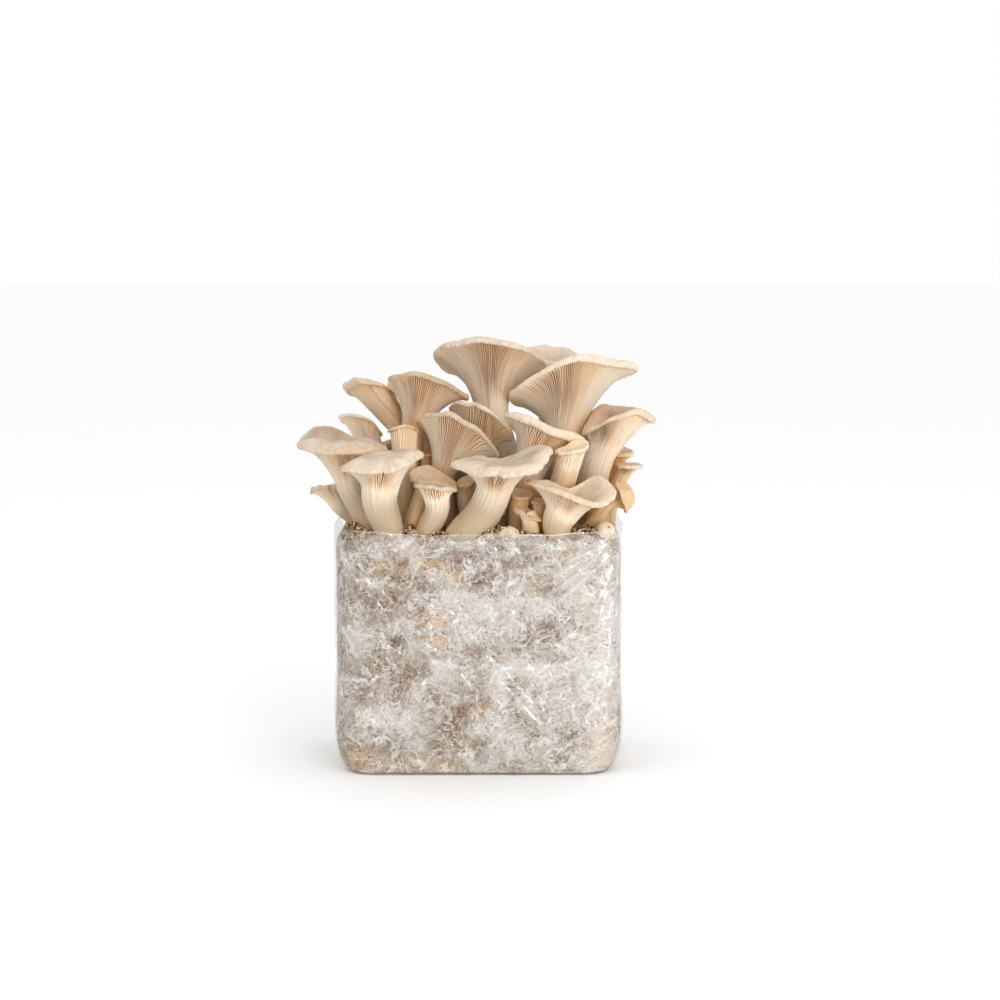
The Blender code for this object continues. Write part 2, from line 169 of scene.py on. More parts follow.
class Finish:
    """A material that is put together node by node round its Principled shader."""

    def __init__(self, name, **constants):
        self.material = bpy.data.materials.new(name)
        self.material.use_nodes = True
        self.tree = self.material.node_tree
        self.shader = self.tree.nodes["Principled BSDF"]
        self.finish(**constants)

    def put(self, given, socket):
        """A socket's link or constant, from a Value, a number or a colour or vector."""
        if isinstance(given, Value):
            self.tree.links.new(given.socket, socket)
        elif socket.type == "RGBA":
            socket.default_value = (*given, 1.0)
        else:
            socket.default_value = given

    def add(self, kind, settings=(), inputs=(), output=0):
        """A node of a kind, with its settings and then its sockets' values or links; one output of it."""
        node = self.tree.nodes.new(kind)
        for key, setting in dict(settings).items():
            setattr(node, key, setting)
        for key, given in dict(inputs).items():
            self.put(given, node.inputs[key])
        return Value(self, node.outputs[output])

    def operate(self, kind, operation, *terms):
        return self.add(kind, {"operation": operation}, dict(enumerate(terms)))

    def vectors(self, operation, *terms):
        return self.operate("ShaderNodeVectorMath", operation, *terms)

    def place(self, stretch=(1.0, 1.0, 1.0)):
        """The point on the object in millimetres, stretched along its axes."""
        point = self.add("ShaderNodeTexCoord", output="Object")
        return self.vectors("MULTIPLY", point, tuple(part / MM for part in stretch))

    def attribute(self, name, output="Fac"):
        return self.add("ShaderNodeAttribute", {"attribute_name": name}, output=output)

    def noise(self, point, size, detail=2.0, roughness=0.5, output="Fac"):
        """Smooth noise whose spots are about size millimetres apart."""
        inputs = {"Vector": point, "Scale": 1 / size, "Detail": detail, "Roughness": roughness}
        return self.add("ShaderNodeTexNoise", (), inputs, output)

    def warped(self, point, size, shift):
        """The point moved up to about shift millimetres, by noise."""
        moved = self.vectors("SUBTRACT", self.noise(point, size, output="Color"), (0.5, 0.5, 0.5))
        return self.vectors("ADD", point, self.vectors("MULTIPLY", moved, (2 * shift,) * 3))

    def layers(self, color, *others):
        """A colour with others laid over it one after the other, each (colour, share)."""
        for other, share in others:
            settings = {"data_type": "RGBA", "clamp_factor": True}
            color = self.add("ShaderNodeMix", settings, {0: share, 6: color, 7: other}, 2)
        return color

    def bump(self, height, depth):
        """A bump of the given depth in millimetres, for a height of 0 to 1."""
        return self.add("ShaderNodeBump", (), {"Strength": 1.0, "Distance": depth * MM, "Height": height})

    def finish(self, **links):
        """The material, with links or constants put into the shader's sockets of those names."""
        for key, given in links.items():
            self.put(given, self.shader.inputs[key.replace("_", " ")])
        return self.material


def flesh_finish(look):
    """Mushroom flesh: a fibrous cream stem, darker and browner lower down, gills with painted golden-brown shade in
    their depths and where they face down, painted shade where mushrooms crowd together, and a softly streaked beige cap
    whose paler margins are partly a painted highlight.
    """
    finish = Finish(
        "mushroom_flesh",
        Subsurface_Weight=0.2,
        Subsurface_Scale=0.004,
        Subsurface_Radius=(1.0, 0.62, 0.35),
        Specular_IOR_Level=0.18,
    )
    growth = finish.attribute("growth", "Vector")
    point = finish.place()
    flare, old, tan, tone, gilled, recess, skin, margin, low, crowd = map(
        finish.attribute, ("flare", "old", "tan", "tone", "gilled", "recess", "skin", "margin", "low", "crowd")
    )
    fibres = finish.noise(growth, 1.0, 3.0, 0.6)
    streaks = finish.noise(growth, 1.5, 2.0, 0.6)
    patches = finish.noise(point, 14.0, 2.0)
    broad = finish.noise(point, 26.0, 1.0)
    mottle = finish.noise(point, 3.0, 3.0, 0.6)

    stem = finish.layers(
        look.stem_color,
        (look.stem_shade, (fibres * 0.7 + patches * 0.5).above(0.42, 0.85)),
        # Darker and browner lower down the stem
        (look.foot_color, old * (0.75 + 0.5 * fibres)),
    )
    gills = finish.layers(
        look.gill_color,
        # Painted shade where the gills face down
        (look.gill_underside_shade, flare * (0.5 + 0.5 * patches.above(0.3, 0.65))),
        # Painted shade in the depths between the gills
        (look.gill_depth_shade_color, recess),
    )
    shade = (broad - 0.5) * 1.8 + (patches - 0.5) * 1.2 + (streaks - 0.5) * 0.8 + (mottle - 0.5) * 0.4
    cap = finish.layers(look.cap_color, (look.cap_shade, 0.42 + tone * 0.5 + shade * (1 - 0.5 * margin)))

    # Rust-brown freckles, most of them on margins, and dirt about the foot
    freckles = finish.noise(point, 1.6, 1.0).above(0.76, 0.82) * finish.noise(point, 18.0, 0.0).above(0.5, 0.62)
    spotted = (finish.noise(point, 1.2, 0.0) + margin * 0.1).above(0.86, 0.9)
    spotted = spotted * finish.noise(point, 9.0, 0.0).above(0.45, 0.6)
    dirt = (finish.noise(point, 1.3, 2.0) + 0.16 * low).above(0.74, 0.8) * low
    color = finish.layers(
        stem,
        (gills, gilled),
        (cap, skin),
        # Paler margins: partly their own colour, partly a painted highlight along the thin edges
        (look.margin_and_highlight_color, margin * (0.3 + 0.7 * mottle.above(0.35, 0.65)) * (0.75 - 0.5 * tone)),
        # Tan: browner older flesh, and on left_gap and front_shadow a painted shade
        (look.tan_and_shade_color, tan * (0.6 + 0.8 * patches)),
        # Painted shade: flesh close to other mushrooms is darkened to warm brown, where shade falls between them
        (look.crowd_shade_color, crowd * (0.6 + 0.3 * mottle) * (1 - 0.35 * skin)),
        (look.freckle_color, freckles * 0.8 + spotted * 0.9),
        (look.dirt_color, dirt * 0.9),
    )
    grain = fibres * 0.5 + mottle * 0.35 + streaks * skin * 0.5
    return finish.finish(Base_Color=color, Roughness=0.6 - 0.12 * skin, Normal=finish.bump(grain, 0.4))


# Fine fibres of the mycelium: the direction they run in, in degrees, and their thickness
FIBRES = ((22, 1.5), (75, 1.3), (118, 1.6), (160, 1.3))

# Its cords: how far apart they run, how narrow they are and how far they stray
CORDS = ((34.0, 52.0, 3.0), (21.0, 40.0, 2.5), (13.0, 28.0, 1.5))


def block_finish(look):
    """Sawdust under a web of white mycelium: brown where it is thin, with dark specks and tawny stains."""
    finish = Finish("colonised_sawdust", Specular_IOR_Level=0.2, Roughness=0.85)
    point = finish.place()
    bent = finish.warped(point, 30.0, 12.0)
    bare, stain, pale, lump = map(finish.attribute, ("bare", "stain", "pale", "lump"))

    # Sawdust shows through as pores and specks, which crowd together in patches
    felt = finish.noise(bent, 10.0, 6.0, 0.75) - pale * 0.1 + bare * 0.06
    crowd = finish.noise(point, 13.0, 4.0, 0.6) + bare * 0.14 - pale * 0.1
    grains = finish.noise(point, 2.0, 3.0, 0.7)
    thin = grains + crowd.above(0.44, 0.68) * 0.14
    specks = (finish.noise(point, 1.5, 1.0) + crowd * 0.3).above(0.78, 0.81)

    # A veil of mycelium lies over it in clouds, drawn out into fine fibres that run the same way within an area
    veil = (finish.noise(bent, 30.0, 4.0, 0.6) + pale * 0.12 - bare * 0.16).above(0.4, 0.66)
    fibres = cords = 0.0
    for degrees, size in FIBRES:
        inputs = {"Vector": bent, "Rotation": (math.radians(degrees), math.radians(degrees), 0)}
        turned = finish.add("ShaderNodeVectorRotate", {"rotation_type": "EULER_XYZ"}, inputs)
        drawn = finish.vectors("MULTIPLY", turned, (0.05, 1.0, 1.0))
        area = finish.noise(turned, 28.0, 1.0).above(0.4, 0.6)
        fibres = fibres + finish.noise(drawn, size, 3.0, 0.65).above(0.5, 0.72) * area

    # Cords of mycelium wander right across it, thick and thin
    for size, narrow, stray in CORDS:
        wander = finish.noise(finish.warped(bent, 9.0, stray), size, 3.0, 0.55)
        line = (1 - abs(wander - 0.5) * narrow).above(0.0, 1.0)
        cords = cords + line * finish.noise(bent, size * 0.6, 1.0).above(0.42, 0.6)
    web = fibres * (0.26 + 0.4 * veil) + cords * 0.55
    color = finish.layers(
        look.mycelium_color,
        (look.mycelium_shade, felt.above(0.4, 0.62)),
        (look.sawdust_color, thin.above(0.54, 0.61) * 0.75),
        (look.stain_color, stain * finish.noise(bent, 5.0, 3.0).above(0.36, 0.6) * 0.8),
        (look.sawdust_shade, thin.above(0.63, 0.68) * 0.9),
        (look.speck_color, specks * 0.85),
        (look.thread_color, veil * 0.4 * (1.3 - grains)),
        (look.thread_color, web * (1 - bare * 0.25)),
        (look.cream_color, lump * finish.noise(point, 4.0, 3.0, 0.7).above(0.3, 0.55) * 0.85),
    )
    return finish.finish(Base_Color=color, Normal=finish.bump(web * 0.4 + grains * 0.6, 0.4))


def crumb_finish(look):
    """Loose crumbs, from dark bark to pale mycelium."""
    finish = Finish("crumbs", Roughness=0.9, Specular_IOR_Level=0.2)
    tone = finish.attribute("tone")
    grains = finish.noise(finish.place(), 0.8, 2.0)
    color = finish.layers(
        look.speck_color,
        (look.bark_color, tone.above(0.2, 0.4)),
        (look.stain_color, tone.above(0.4, 0.6)),
        (look.cream_color, tone.above(0.6, 0.8)),
        (look.sawdust_shade, grains.above(0.55, 0.75) * 0.4),
    )
    return finish.finish(Base_Color=color, Normal=finish.bump(grains, 0.2))


def film_finish(look):
    """Clear film: see-through, with a mirror-like gloss that grows where the film turns away or lies in folds."""
    finish = Finish("clear_film", Metallic=1.0)
    point = finish.place()
    gathered = finish.noise(finish.place((1.0, 1.0, 0.06)), 2.2, 2.0, 0.6).above(0.5, 0.62)
    band = finish.attribute("band") * (0.35 + 0.65 * gathered)
    rim = finish.attribute("rim") * finish.noise(point, 22.0, 1.0).above(0.4, 0.6)
    haze = finish.noise(point, 18.0, 3.0, 0.6)
    crinkle = abs(finish.noise(finish.warped(point, 14.0, 8.0), 14.0, 2.0, 0.55) - 0.5)
    crinkle = (1 - crinkle * 6).above(0.0, 1.0)
    cockle = finish.noise(finish.warped(point, 9.0, 4.0), 8.0, 2.0, 0.5)
    facing = finish.add("ShaderNodeLayerWeight", (), {"Blend": 0.3}, "Facing")
    gloss = look.gloss + 0.4 * facing**3 + finish.attribute("fold") * 0.22 + band * 0.3
    gloss = gloss + haze.above(0.45, 0.7) * 0.07 + crinkle * 0.06 + rim * 0.5
    finish.finish(
        # The doubled film along the corners gets a grey reflection colour, a painted shade
        Base_Color=finish.layers(look.sheen_color, (look.gusset_shade_color, band)),
        Roughness=0.13 + 0.16 * haze,
        Normal=finish.bump(crinkle * 0.7 + cockle * 0.35, 0.6),
    )
    clear = finish.add("ShaderNodeBsdfTransparent", (), {"Color": tuple(look.tint)})
    glossy = Value(finish, finish.shader.outputs["BSDF"])
    mixed = finish.add("ShaderNodeMixShader", (), {0: gloss, 1: clear, 2: glossy})
    finish.put(mixed, finish.tree.nodes["Material Output"].inputs["Surface"])
    return finish.material


# ---------------------------------------------------------------- pieces


def deselect():
    bpy.ops.object.select_all(action="DESELECT")


def place_piece(obj, slot, *nodes):
    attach(obj, BODY)
    if nodes:
        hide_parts(*nodes)


def mesh_object(name, points, faces, material, attributes):
    """A smooth shaded object from points in millimetres, with numbers or vectors kept at its points."""
    mesh = bpy.data.meshes.new(name)
    mesh.from_pydata((np.asarray(points) * MM).tolist(), [], faces)
    store(mesh, **attributes)
    mesh.materials.append(material)
    mesh.shade_smooth()
    obj = bpy.data.objects.new(name, mesh)
    bpy.context.scene.collection.objects.link(obj)
    return obj


def store(mesh, **attributes):
    """Keeps numbers or vectors for each point of the mesh, for the materials."""
    for key, data in attributes.items():
        data = np.asarray(data, np.float32)
        kind, field = ("FLOAT_VECTOR", "vector") if data.ndim == 2 else ("FLOAT", "value")
        mesh.attributes.new(key, kind, "POINT").data.foreach_set(field, data.ravel())


def vectors_of(rows, key):
    """The vector that each row keeps under a key."""
    data = np.empty(len(rows) * 3)
    rows.foreach_get(key, data)
    return data.reshape(-1, 3)


def points_of(mesh):
    return vectors_of(mesh.vertices, "co") / MM


def move_points(mesh, points):
    mesh.vertices.foreach_set("co", (points * MM).ravel())
    mesh.update()


def field(points, size, octaves=2):
    """Smooth noise at each point, about -1 to 1, with spots about size millimetres apart."""
    return np.array([noise.fractal(Vector(point), 1.0, 2.0, octaves) for point in points / size])


# ---------------------------------------------------------------- mushrooms

# Each mushroom by its foot (x, y, radius), its neck where the stem starts to widen (x, y, z, radius) and eight
# points of its gills' outer edge: right, back right, back, back left, left, front left, front and front right.
# lip is the margin's thickness, dish how far the cap's middle lies below the margin, crown how far its skin
# arches between them, droop how far the gills arch before the edge and lean how the stem starts off sideways.
# wavy and ragged are how far the margin strays in long and short waves, tan how brown the flesh is (a painted shade
# on left_gap and front_shadow), and each notch in the margin is its place round the eight points, its width and its
# depth. tone is how dark the cap is, gills how strongly the gills show, and the pair for the gills' shaded side the
# place and width, in eighths of the way round, where the painted shade in and under the gills is darkest.
MUSHROOMS = {
    "tall_left": dict(
        foot=(32, 23, 12), neck=(9, 20, 256, 12.5), lip=4.5, dish=20, tone=0.3, shaded_side=(6.6, 2.6),
        rim=((50, 16, 285), (40, 42, 279), (9, 53, 275.5), (-22, 43, 279.5),
             (-32, 18, 293), (-23, -6, 300), (2, -18, 305), (31, -8, 299))),
    "tall_right": dict(
        foot=(61, 17, 11.5), neck=(62, 12, 238, 13), lip=5.5, dish=22, tone=-0.2, shaded_side=(5.5, 1.7), gills=0.85,
        rim=((113, 8, 284), (106, 36, 276), (72, 45, 267), (37, 34, 256),
             (23, 6, 262.5), (39, -16, 278), (69, -26, 292), (95, -16, 288))),
    "tall_back": dict(
        foot=(45, 44, 8), neck=(54, 58, 268, 8.5), lip=4, dish=9, tone=0.2,
        rim=((75, 60, 289), (69, 72, 292.5), (54, 79, 294.5), (39, 72, 294.5),
             (32, 58, 292.5), (38, 45, 288), (54, 37, 285.5), (69, 45, 286))),
    "left_twin_large": dict(
        foot=(-50, 14, 9), neck=(-47, 8, 243, 9.5), lip=3.8, dish=16, tan=0.12, tone=1.0, shaded_side=(6.7, 2.2),
        rim=((-9, 6, 263), (-14, 26, 262), (-38, 34, 262), (-57, 22, 267),
             (-66, 4, 272), (-62, -8, 278), (-49, -16, 281), (-27, -10, 275))),
    "left_twin_small": dict(
        foot=(-66, 27, 6.5), neck=(-54.8, 28, 238, 9), lip=6, dish=4, crown=1.5, tan=0.1, gills=0.45, tone=0.4,
        rim=((-61.5, 27, 264.5), (-64, 36, 262), (-78, 39, 261), (-91, 32, 263),
             (-96, 14, 268), (-91, 0, 272), (-80, -6, 275), (-68, 8, 271))),
    "left_back_small": dict(
        foot=(-84, 29, 7.5), neck=(-78, 27, 222, 8), lip=2.5, dish=8, gills=0.12, tone=-0.1,
        rim=((-72, 26, 234), (-74, 38, 237), (-84, 43, 240), (-98, 36, 243),
             (-103, 24, 247), (-99, 14, 249), (-90, 8, 250), (-77, 12, 245))),
    "left_shelf": dict(
        foot=(-77, -33, 9.5), neck=(-92, -24, 206, 10.5), lip=4.5, dish=-1, droop=3, crown=3, tone=0.5,
        rim=((-66, -22, 228), (-84, -10, 231), (-103, -4, 237.5), (-118, -8, 239.5),
             (-128, -22, 231), (-121, -38, 229), (-96, -47, 228), (-77, -37, 227))),
    "front_left": dict(
        foot=(-62, -50, 9.5), neck=(-69, -54, 203, 13), lip=4.5, dish=-3, crown=2.5, tone=0.2,
        notches=((6.15, 1.6, 2.0),),
        rim=((-40, -54, 226), (-46, -42, 224.5), (-65, -38, 224), (-82, -44, 221.5),
             (-95, -56, 218), (-85, -68, 217), (-68, -76, 217), (-51, -70, 221))),
    "far_left_low": dict(
        foot=(-87, 2, 6), neck=(-103, 3, 187, 6.3), lip=2.5, dish=4, gills=0.4, tone=0.4,
        rim=((-92, 2, 196), (-98, 12, 195), (-110, 15, 195), (-119, 11, 193),
             (-122, 2, 195), (-118, -7, 198), (-111, -11, 200), (-101, -8, 199))),
    "left_stump": dict(
        foot=(-53, -11, 9), neck=(-53.5, -13, 214, 8.6), lip=2.2, dish=8, ragged=0.9, tan=0.3, gills=0.45, tone=-0.2,
        rim=((-43.5, -13, 240), (-46, -7, 240), (-52, -4.5, 241), (-59.5, -7, 242),
             (-64, -13, 241), (-61, -20, 243), (-52, -23, 245), (-45.5, -19.5, 243))),
    "middle_left": dict(
        foot=(-24, -10, 8.5), neck=(-26, -11, 212, 9), lip=4, dish=16, tone=0.6, shaded_side=(6.9, 2.2),
        rim=((13, -21, 224), (0, -12, 227), (-18, 1, 232), (-36, 2, 240),
             (-45, -10, 247), (-38, -28, 252), (-20, -38, 253), (-1, -34, 242))),
    "middle_back": dict(
        foot=(-6, 9, 8.5), neck=(-2, 7.5, 219, 8.8), lip=3.5, dish=14, tan=0.15, tone=0.0, shaded_side=(6.4, 2.2),
        notches=((5.6, 2.5, 3.0), (7.6, 6.0, -3.0)),
        rim=((22.5, -8, 234), (15, -1, 237), (4, 3, 241.5), (-13, 15, 247),
             (-21, 5, 255), (-14, -14, 260), (3, -22, 257), (15, -17, 248.5))),
    "front_pair_rear": dict(
        foot=(-47, -34, 6.5), neck=(-39, -31, 197, 7), lip=3, dish=5, tan=0.12, tone=0.0,
        rim=((-16, -29, 203), (-27, -23, 210), (-37, -21, 215), (-46, -22, 214),
             (-49, -29, 210), (-47, -35, 207), (-33, -39, 203), (-21, -36, 202))),
    "front_pair_front": dict(
        foot=(-37, -46, 8), neck=(-29, -48, 195, 9), lip=3, dish=3, tone=0.3,
        rim=((-15, -48, 202), (-20, -41, 204), (-31, -40, 206), (-40, -42, 206),
             (-45, -48, 205), (-41, -54, 205), (-31, -58, 204), (-21, -55, 203))),
    "front_centre": dict(
        foot=(-13, -47, 13), neck=(11, -50, 203, 12.5), lip=4.5, dish=4, crown=3, lean=(1.0, 0.0),
        notches=((6.05, 2.2, 4.0),), tone=0.05,
        rim=((51, -54, 228), (41, -40, 229), (16, -38, 219.5), (-8, -36, 220.5),
             (-18, -50, 220), (-5, -68, 216), (13, -76, 215), (36, -70, 216))),
    # Its tan is a painted shade, for the shaded gap that it fills
    "front_shadow": dict(
        foot=(-5, -25, 5), neck=(-10, -25, 193, 5.5), lip=2.5, dish=4, ragged=0.5, tan=0.4,
        rim=((-2, -25, 206), (-5, -19, 208), (-10, -17, 207), (-15, -19, 204),
             (-16, -25, 202), (-14, -30, 202), (-10, -32, 203), (-5, -31, 204))),
    # Its tan is a painted shade, for the shaded gap that it fills
    "left_gap": dict(
        foot=(-37, 0, 4.5), neck=(-38, 0, 214, 4.5), lip=2, dish=4, tan=0.6,
        rim=((-31, 0, 224), (-33, 4, 225), (-37, 6, 225), (-41, 4, 224),
             (-43, 0, 223), (-41, -4, 222), (-37, -6, 222), (-33, -4, 223))),
    "right_folded": dict(
        foot=(38, -12, 10), neck=(36.6, -14.6, 214, 12), lip=5.2, dish=2, droop=6, crown=2,
        tan=0.08, tone=-0.3, shaded_side=(6.4, 2.0),
        rim=((75, -24, 233.5), (66, -13, 235), (47, -8, 237), (29, -11, 239),
             (19.5, -23, 250.5), (28, -34, 251), (46, -39, 243.5), (63, -36, 236.5))),
    "right_folded_small": dict(
        foot=(55, -28, 8), neck=(63.5, -36, 219, 9), lip=3, dish=4, ragged=0.5, gills=0.35, tone=-0.6,
        notches=((5.4, 1.8, 3.0),),
        rim=((77, -41, 232), (76, -35.5, 234.5), (68, -34.5, 234.5), (60, -36, 231),
             (54.5, -41, 228.5), (58, -46, 227), (66, -48.5, 228), (74.5, -46.5, 230))),
    "right_leaning": dict(
        foot=(83, 1, 11.5), neck=(88, -1, 225, 12), lip=5, dish=14, droop=3, tan=0.08, tone=0.2, shaded_side=(5.6, 2.2),
        notches=((3.4, 6.0, -2.5),),
        rim=((126, 0, 246), (117, 15, 251), (100, 24, 252), (88.6, 21, 254),
             (76, -6, 239), (84, -16, 243), (97, -22, 250), (113, -16, 253))),
    "right_small_upper": dict(
        foot=(91, 23, 4), neck=(102, 18, 215, 4.5), lip=2.5, dish=2,
        rim=((113, 17, 221), (110, 22, 223), (105, 24, 224), (100, 22, 224),
             (97, 17, 222), (99, 12.5, 221), (105, 10.5, 220), (110, 12.5, 220))),
    "right_small_lower": dict(
        foot=(96, 12.5, 4.4), neck=(105.5, 5.5, 208.5, 5.4), lip=2.5, dish=2,
        rim=((119, 3, 213), (115, 10.5, 214), (108, 13, 214.5), (102, 11.5, 214.5),
             (99.5, 6, 214.5), (102, -3.5, 214), (107, -7, 213.5), (115, -4, 213))),
    "front_right": dict(
        foot=(56, -51, 8.5), neck=(58, -52, 185, 12), lip=4, dish=16, tan=0.1, tone=-0.1, shaded_side=(5.8, 2.4),
        rim=((96, -42, 200), (83, -35, 208), (63, -45, 201), (46, -43.5, 207),
             (35, -52, 207), (53, -66, 203), (71, -68, 196), (88, -58, 192))),
    "right_curled": dict(
        foot=(77, -25, 6), neck=(96, -24, 192, 5.2), lip=2, dish=-8, crown=3, lean=(1.1, 0.0), tan=0.7,
        rim=((105, -24, 184), (105, -16, 187), (103, -13, 194), (100, -16, 202),
             (98, -24, 205), (99, -32, 202), (102, -35, 194), (105, -32, 187))),
    "front_button": dict(
        foot=(37, -48, 6), neck=(36, -49, 183, 5.6), lip=2.5, dish=0, ragged=0.9, tan=0.15, tone=0.2,
        rim=((45, -49, 181), (41, -43, 184), (36, -41, 186), (30, -43, 188),
             (26, -49, 188), (29, -54, 187), (35, -56, 184), (41, -54, 182))),
    "front_stub": dict(
        foot=(43, -35, 4.5), neck=(43, -36, 188, 4.6), lip=1.5, dish=2, ragged=0.4,
        rim=((48, -36, 192), (47, -32, 193), (43, -31, 194), (39, -32, 194),
             (38, -36, 193), (39, -40, 192), (43, -41, 192), (47, -40, 191))),
    "front_cup": dict(
        foot=(28, -32, 6), neck=(29, -31, 190, 7), lip=2, dish=6, tan=0.35,
        rim=((38, -31.5, 196), (36, -26.5, 198), (31, -24, 199.5), (25, -25, 200),
             (22, -31, 198), (24, -38, 196), (30, -40, 195), (36, -38, 195))),
    "back_left_shelf": dict(
        foot=(-68, 46, 9), neck=(-76, 54, 204, 10), lip=4.5, dish=7, droop=3, crown=1,
        rim=((-56, 62, 224), (-62, 80, 220), (-82, 90, 216), (-104, 83, 215),
             (-113, 64, 218), (-104, 47, 223), (-84, 41, 226), (-65, 45, 226))),
    "back_left": dict(
        foot=(-38, 44, 10), neck=(-37, 54, 214, 10.5), lip=4.5, dish=14, droop=3,
        rim=((-7, 64, 236), (-14, 84, 230), (-36, 94, 226), (-58, 86, 229),
             (-66, 66, 236), (-58, 47, 243), (-36, 39, 246), (-14, 46, 243))),
    "back_middle": dict(
        foot=(-6, 46, 10.5), neck=(-2, 56, 194, 10.5), lip=4.5, dish=9, droop=3,
        rim=((28, 68, 213), (21, 86, 208), (2, 94, 205), (-18, 87, 207),
             (-25, 70, 212), (-18, 52, 218), (2, 45, 220), (21, 51, 217))),
    "back_middle_low": dict(
        foot=(24, 52, 6.5), neck=(28, 60, 184, 6.5), lip=3, dish=3, crown=1,
        rim=((43, 66, 193), (39, 75, 191), (30, 79, 190), (21, 75, 191),
             (18, 66, 193), (21, 58, 195), (30, 54, 196), (39, 58, 195))),
    "back_right": dict(
        foot=(74, 44, 9.5), neck=(80, 53, 210, 10), lip=4.5, dish=10, droop=3,
        rim=((107, 62, 226), (101, 78, 221), (84, 87, 218), (68, 80, 221),
             (63, 64, 227), (68, 49, 232), (84, 41, 234), (101, 47, 231))),
    "back_right_low": dict(
        foot=(60, 51, 4.5), neck=(57, 57, 187, 5), lip=2.5, dish=2, crown=1,
        rim=((68, 65, 195), (65, 74, 193), (57, 78, 192), (49, 74, 193),
             (46, 65, 195), (49, 58, 197), (57, 55, 198), (65, 58, 197))),
    "back_far_left_low": dict(
        foot=(-85, 43, 5), neck=(-95, 50, 187, 5.5), lip=2.5, dish=3, crown=1,
        rim=((-89, 56, 195), (-92, 65, 192), (-101, 69, 190), (-110, 65, 190),
             (-113, 57, 192), (-110, 49, 195), (-101, 45, 197), (-92, 48, 197))),
    "back_gap": dict(
        foot=(-18, 27, 6), neck=(-17, 28, 213, 6), lip=2.5, dish=5,
        rim=((-5, 29, 225), (-8, 37, 223), (-16, 40, 222), (-24, 37, 223),
             (-27, 29, 225), (-24, 21, 227), (-16, 18, 228), (-8, 21, 227))),
}

# What a mushroom is like where its own entry doesn't say
HABIT = dict(
    droop=1.5, crown=0.0, lean=(0.0, 0.0), wavy=0.5, ragged=0.18, tan=0.0, tone=0.1, gills=1.0, shaded_side=(6.2, 3.0),
    notches=(),
)

# A rim has this many points, a margin is kept at this many places round it, and one shorter than this strays less
RIM_POINTS = 8
MARGIN_PLACES = 512
FULL_MARGIN = 120

# The curve round a margin's thickness by its controls, each out and up as a share of the lip
MARGIN_CURVE = np.array(((0.0, 0.0), (0.25, -0.25), (0.45, 0.9), (-0.25, 1.0)))

# How soft the dish is in its middle, and what makes a crown's share² (1 - share) 1 at its highest
DISH_SOFTNESS = 0.015
CROWN_FACTOR = 6.75

# A gill takes four points of a ring: its edge, its side, the depth beside it and its other side
GILL_WAVE = np.array([1.0, 0.42, 0.0, 0.42])
GILL_POINTS = len(GILL_WAVE)
FEWEST_GILLS = 20

# The most that a gill is deep, as a share of the margin's length, and how much of that it keeps on the stem
GILL_DEPTH_SHARE = 0.028
STEM_GILLS = 0.42

# The stem has no gills below this share of its height. Its rings are about a step apart, its foot is in the block,
# and the rings of the cap lie closer together towards the margin, by a power
GILLS_END = 0.36
STEM_STEP = 4.0
FOOT_DEPTH = 1.5
CLOSER = 1.25

# Flesh is darker and browner from the first height down to the second, by at most this share
BROWNER_BETWEEN = (245, 200)
BROWNER_SHARE = 0.75
FIBRE_LENGTH = 22

# Numbers kept at each point of a mushroom, for its finish
MARKS = ("gilled", "flare", "recess", "skin", "margin", "low", "old")


def away_round(turns, place):
    """How far turns from 0 to 1 are from a place on the rim, both ways round, in steps of its points."""
    return (turns * RIM_POINTS - place + RIM_POINTS / 2) % RIM_POINTS - RIM_POINTS / 2


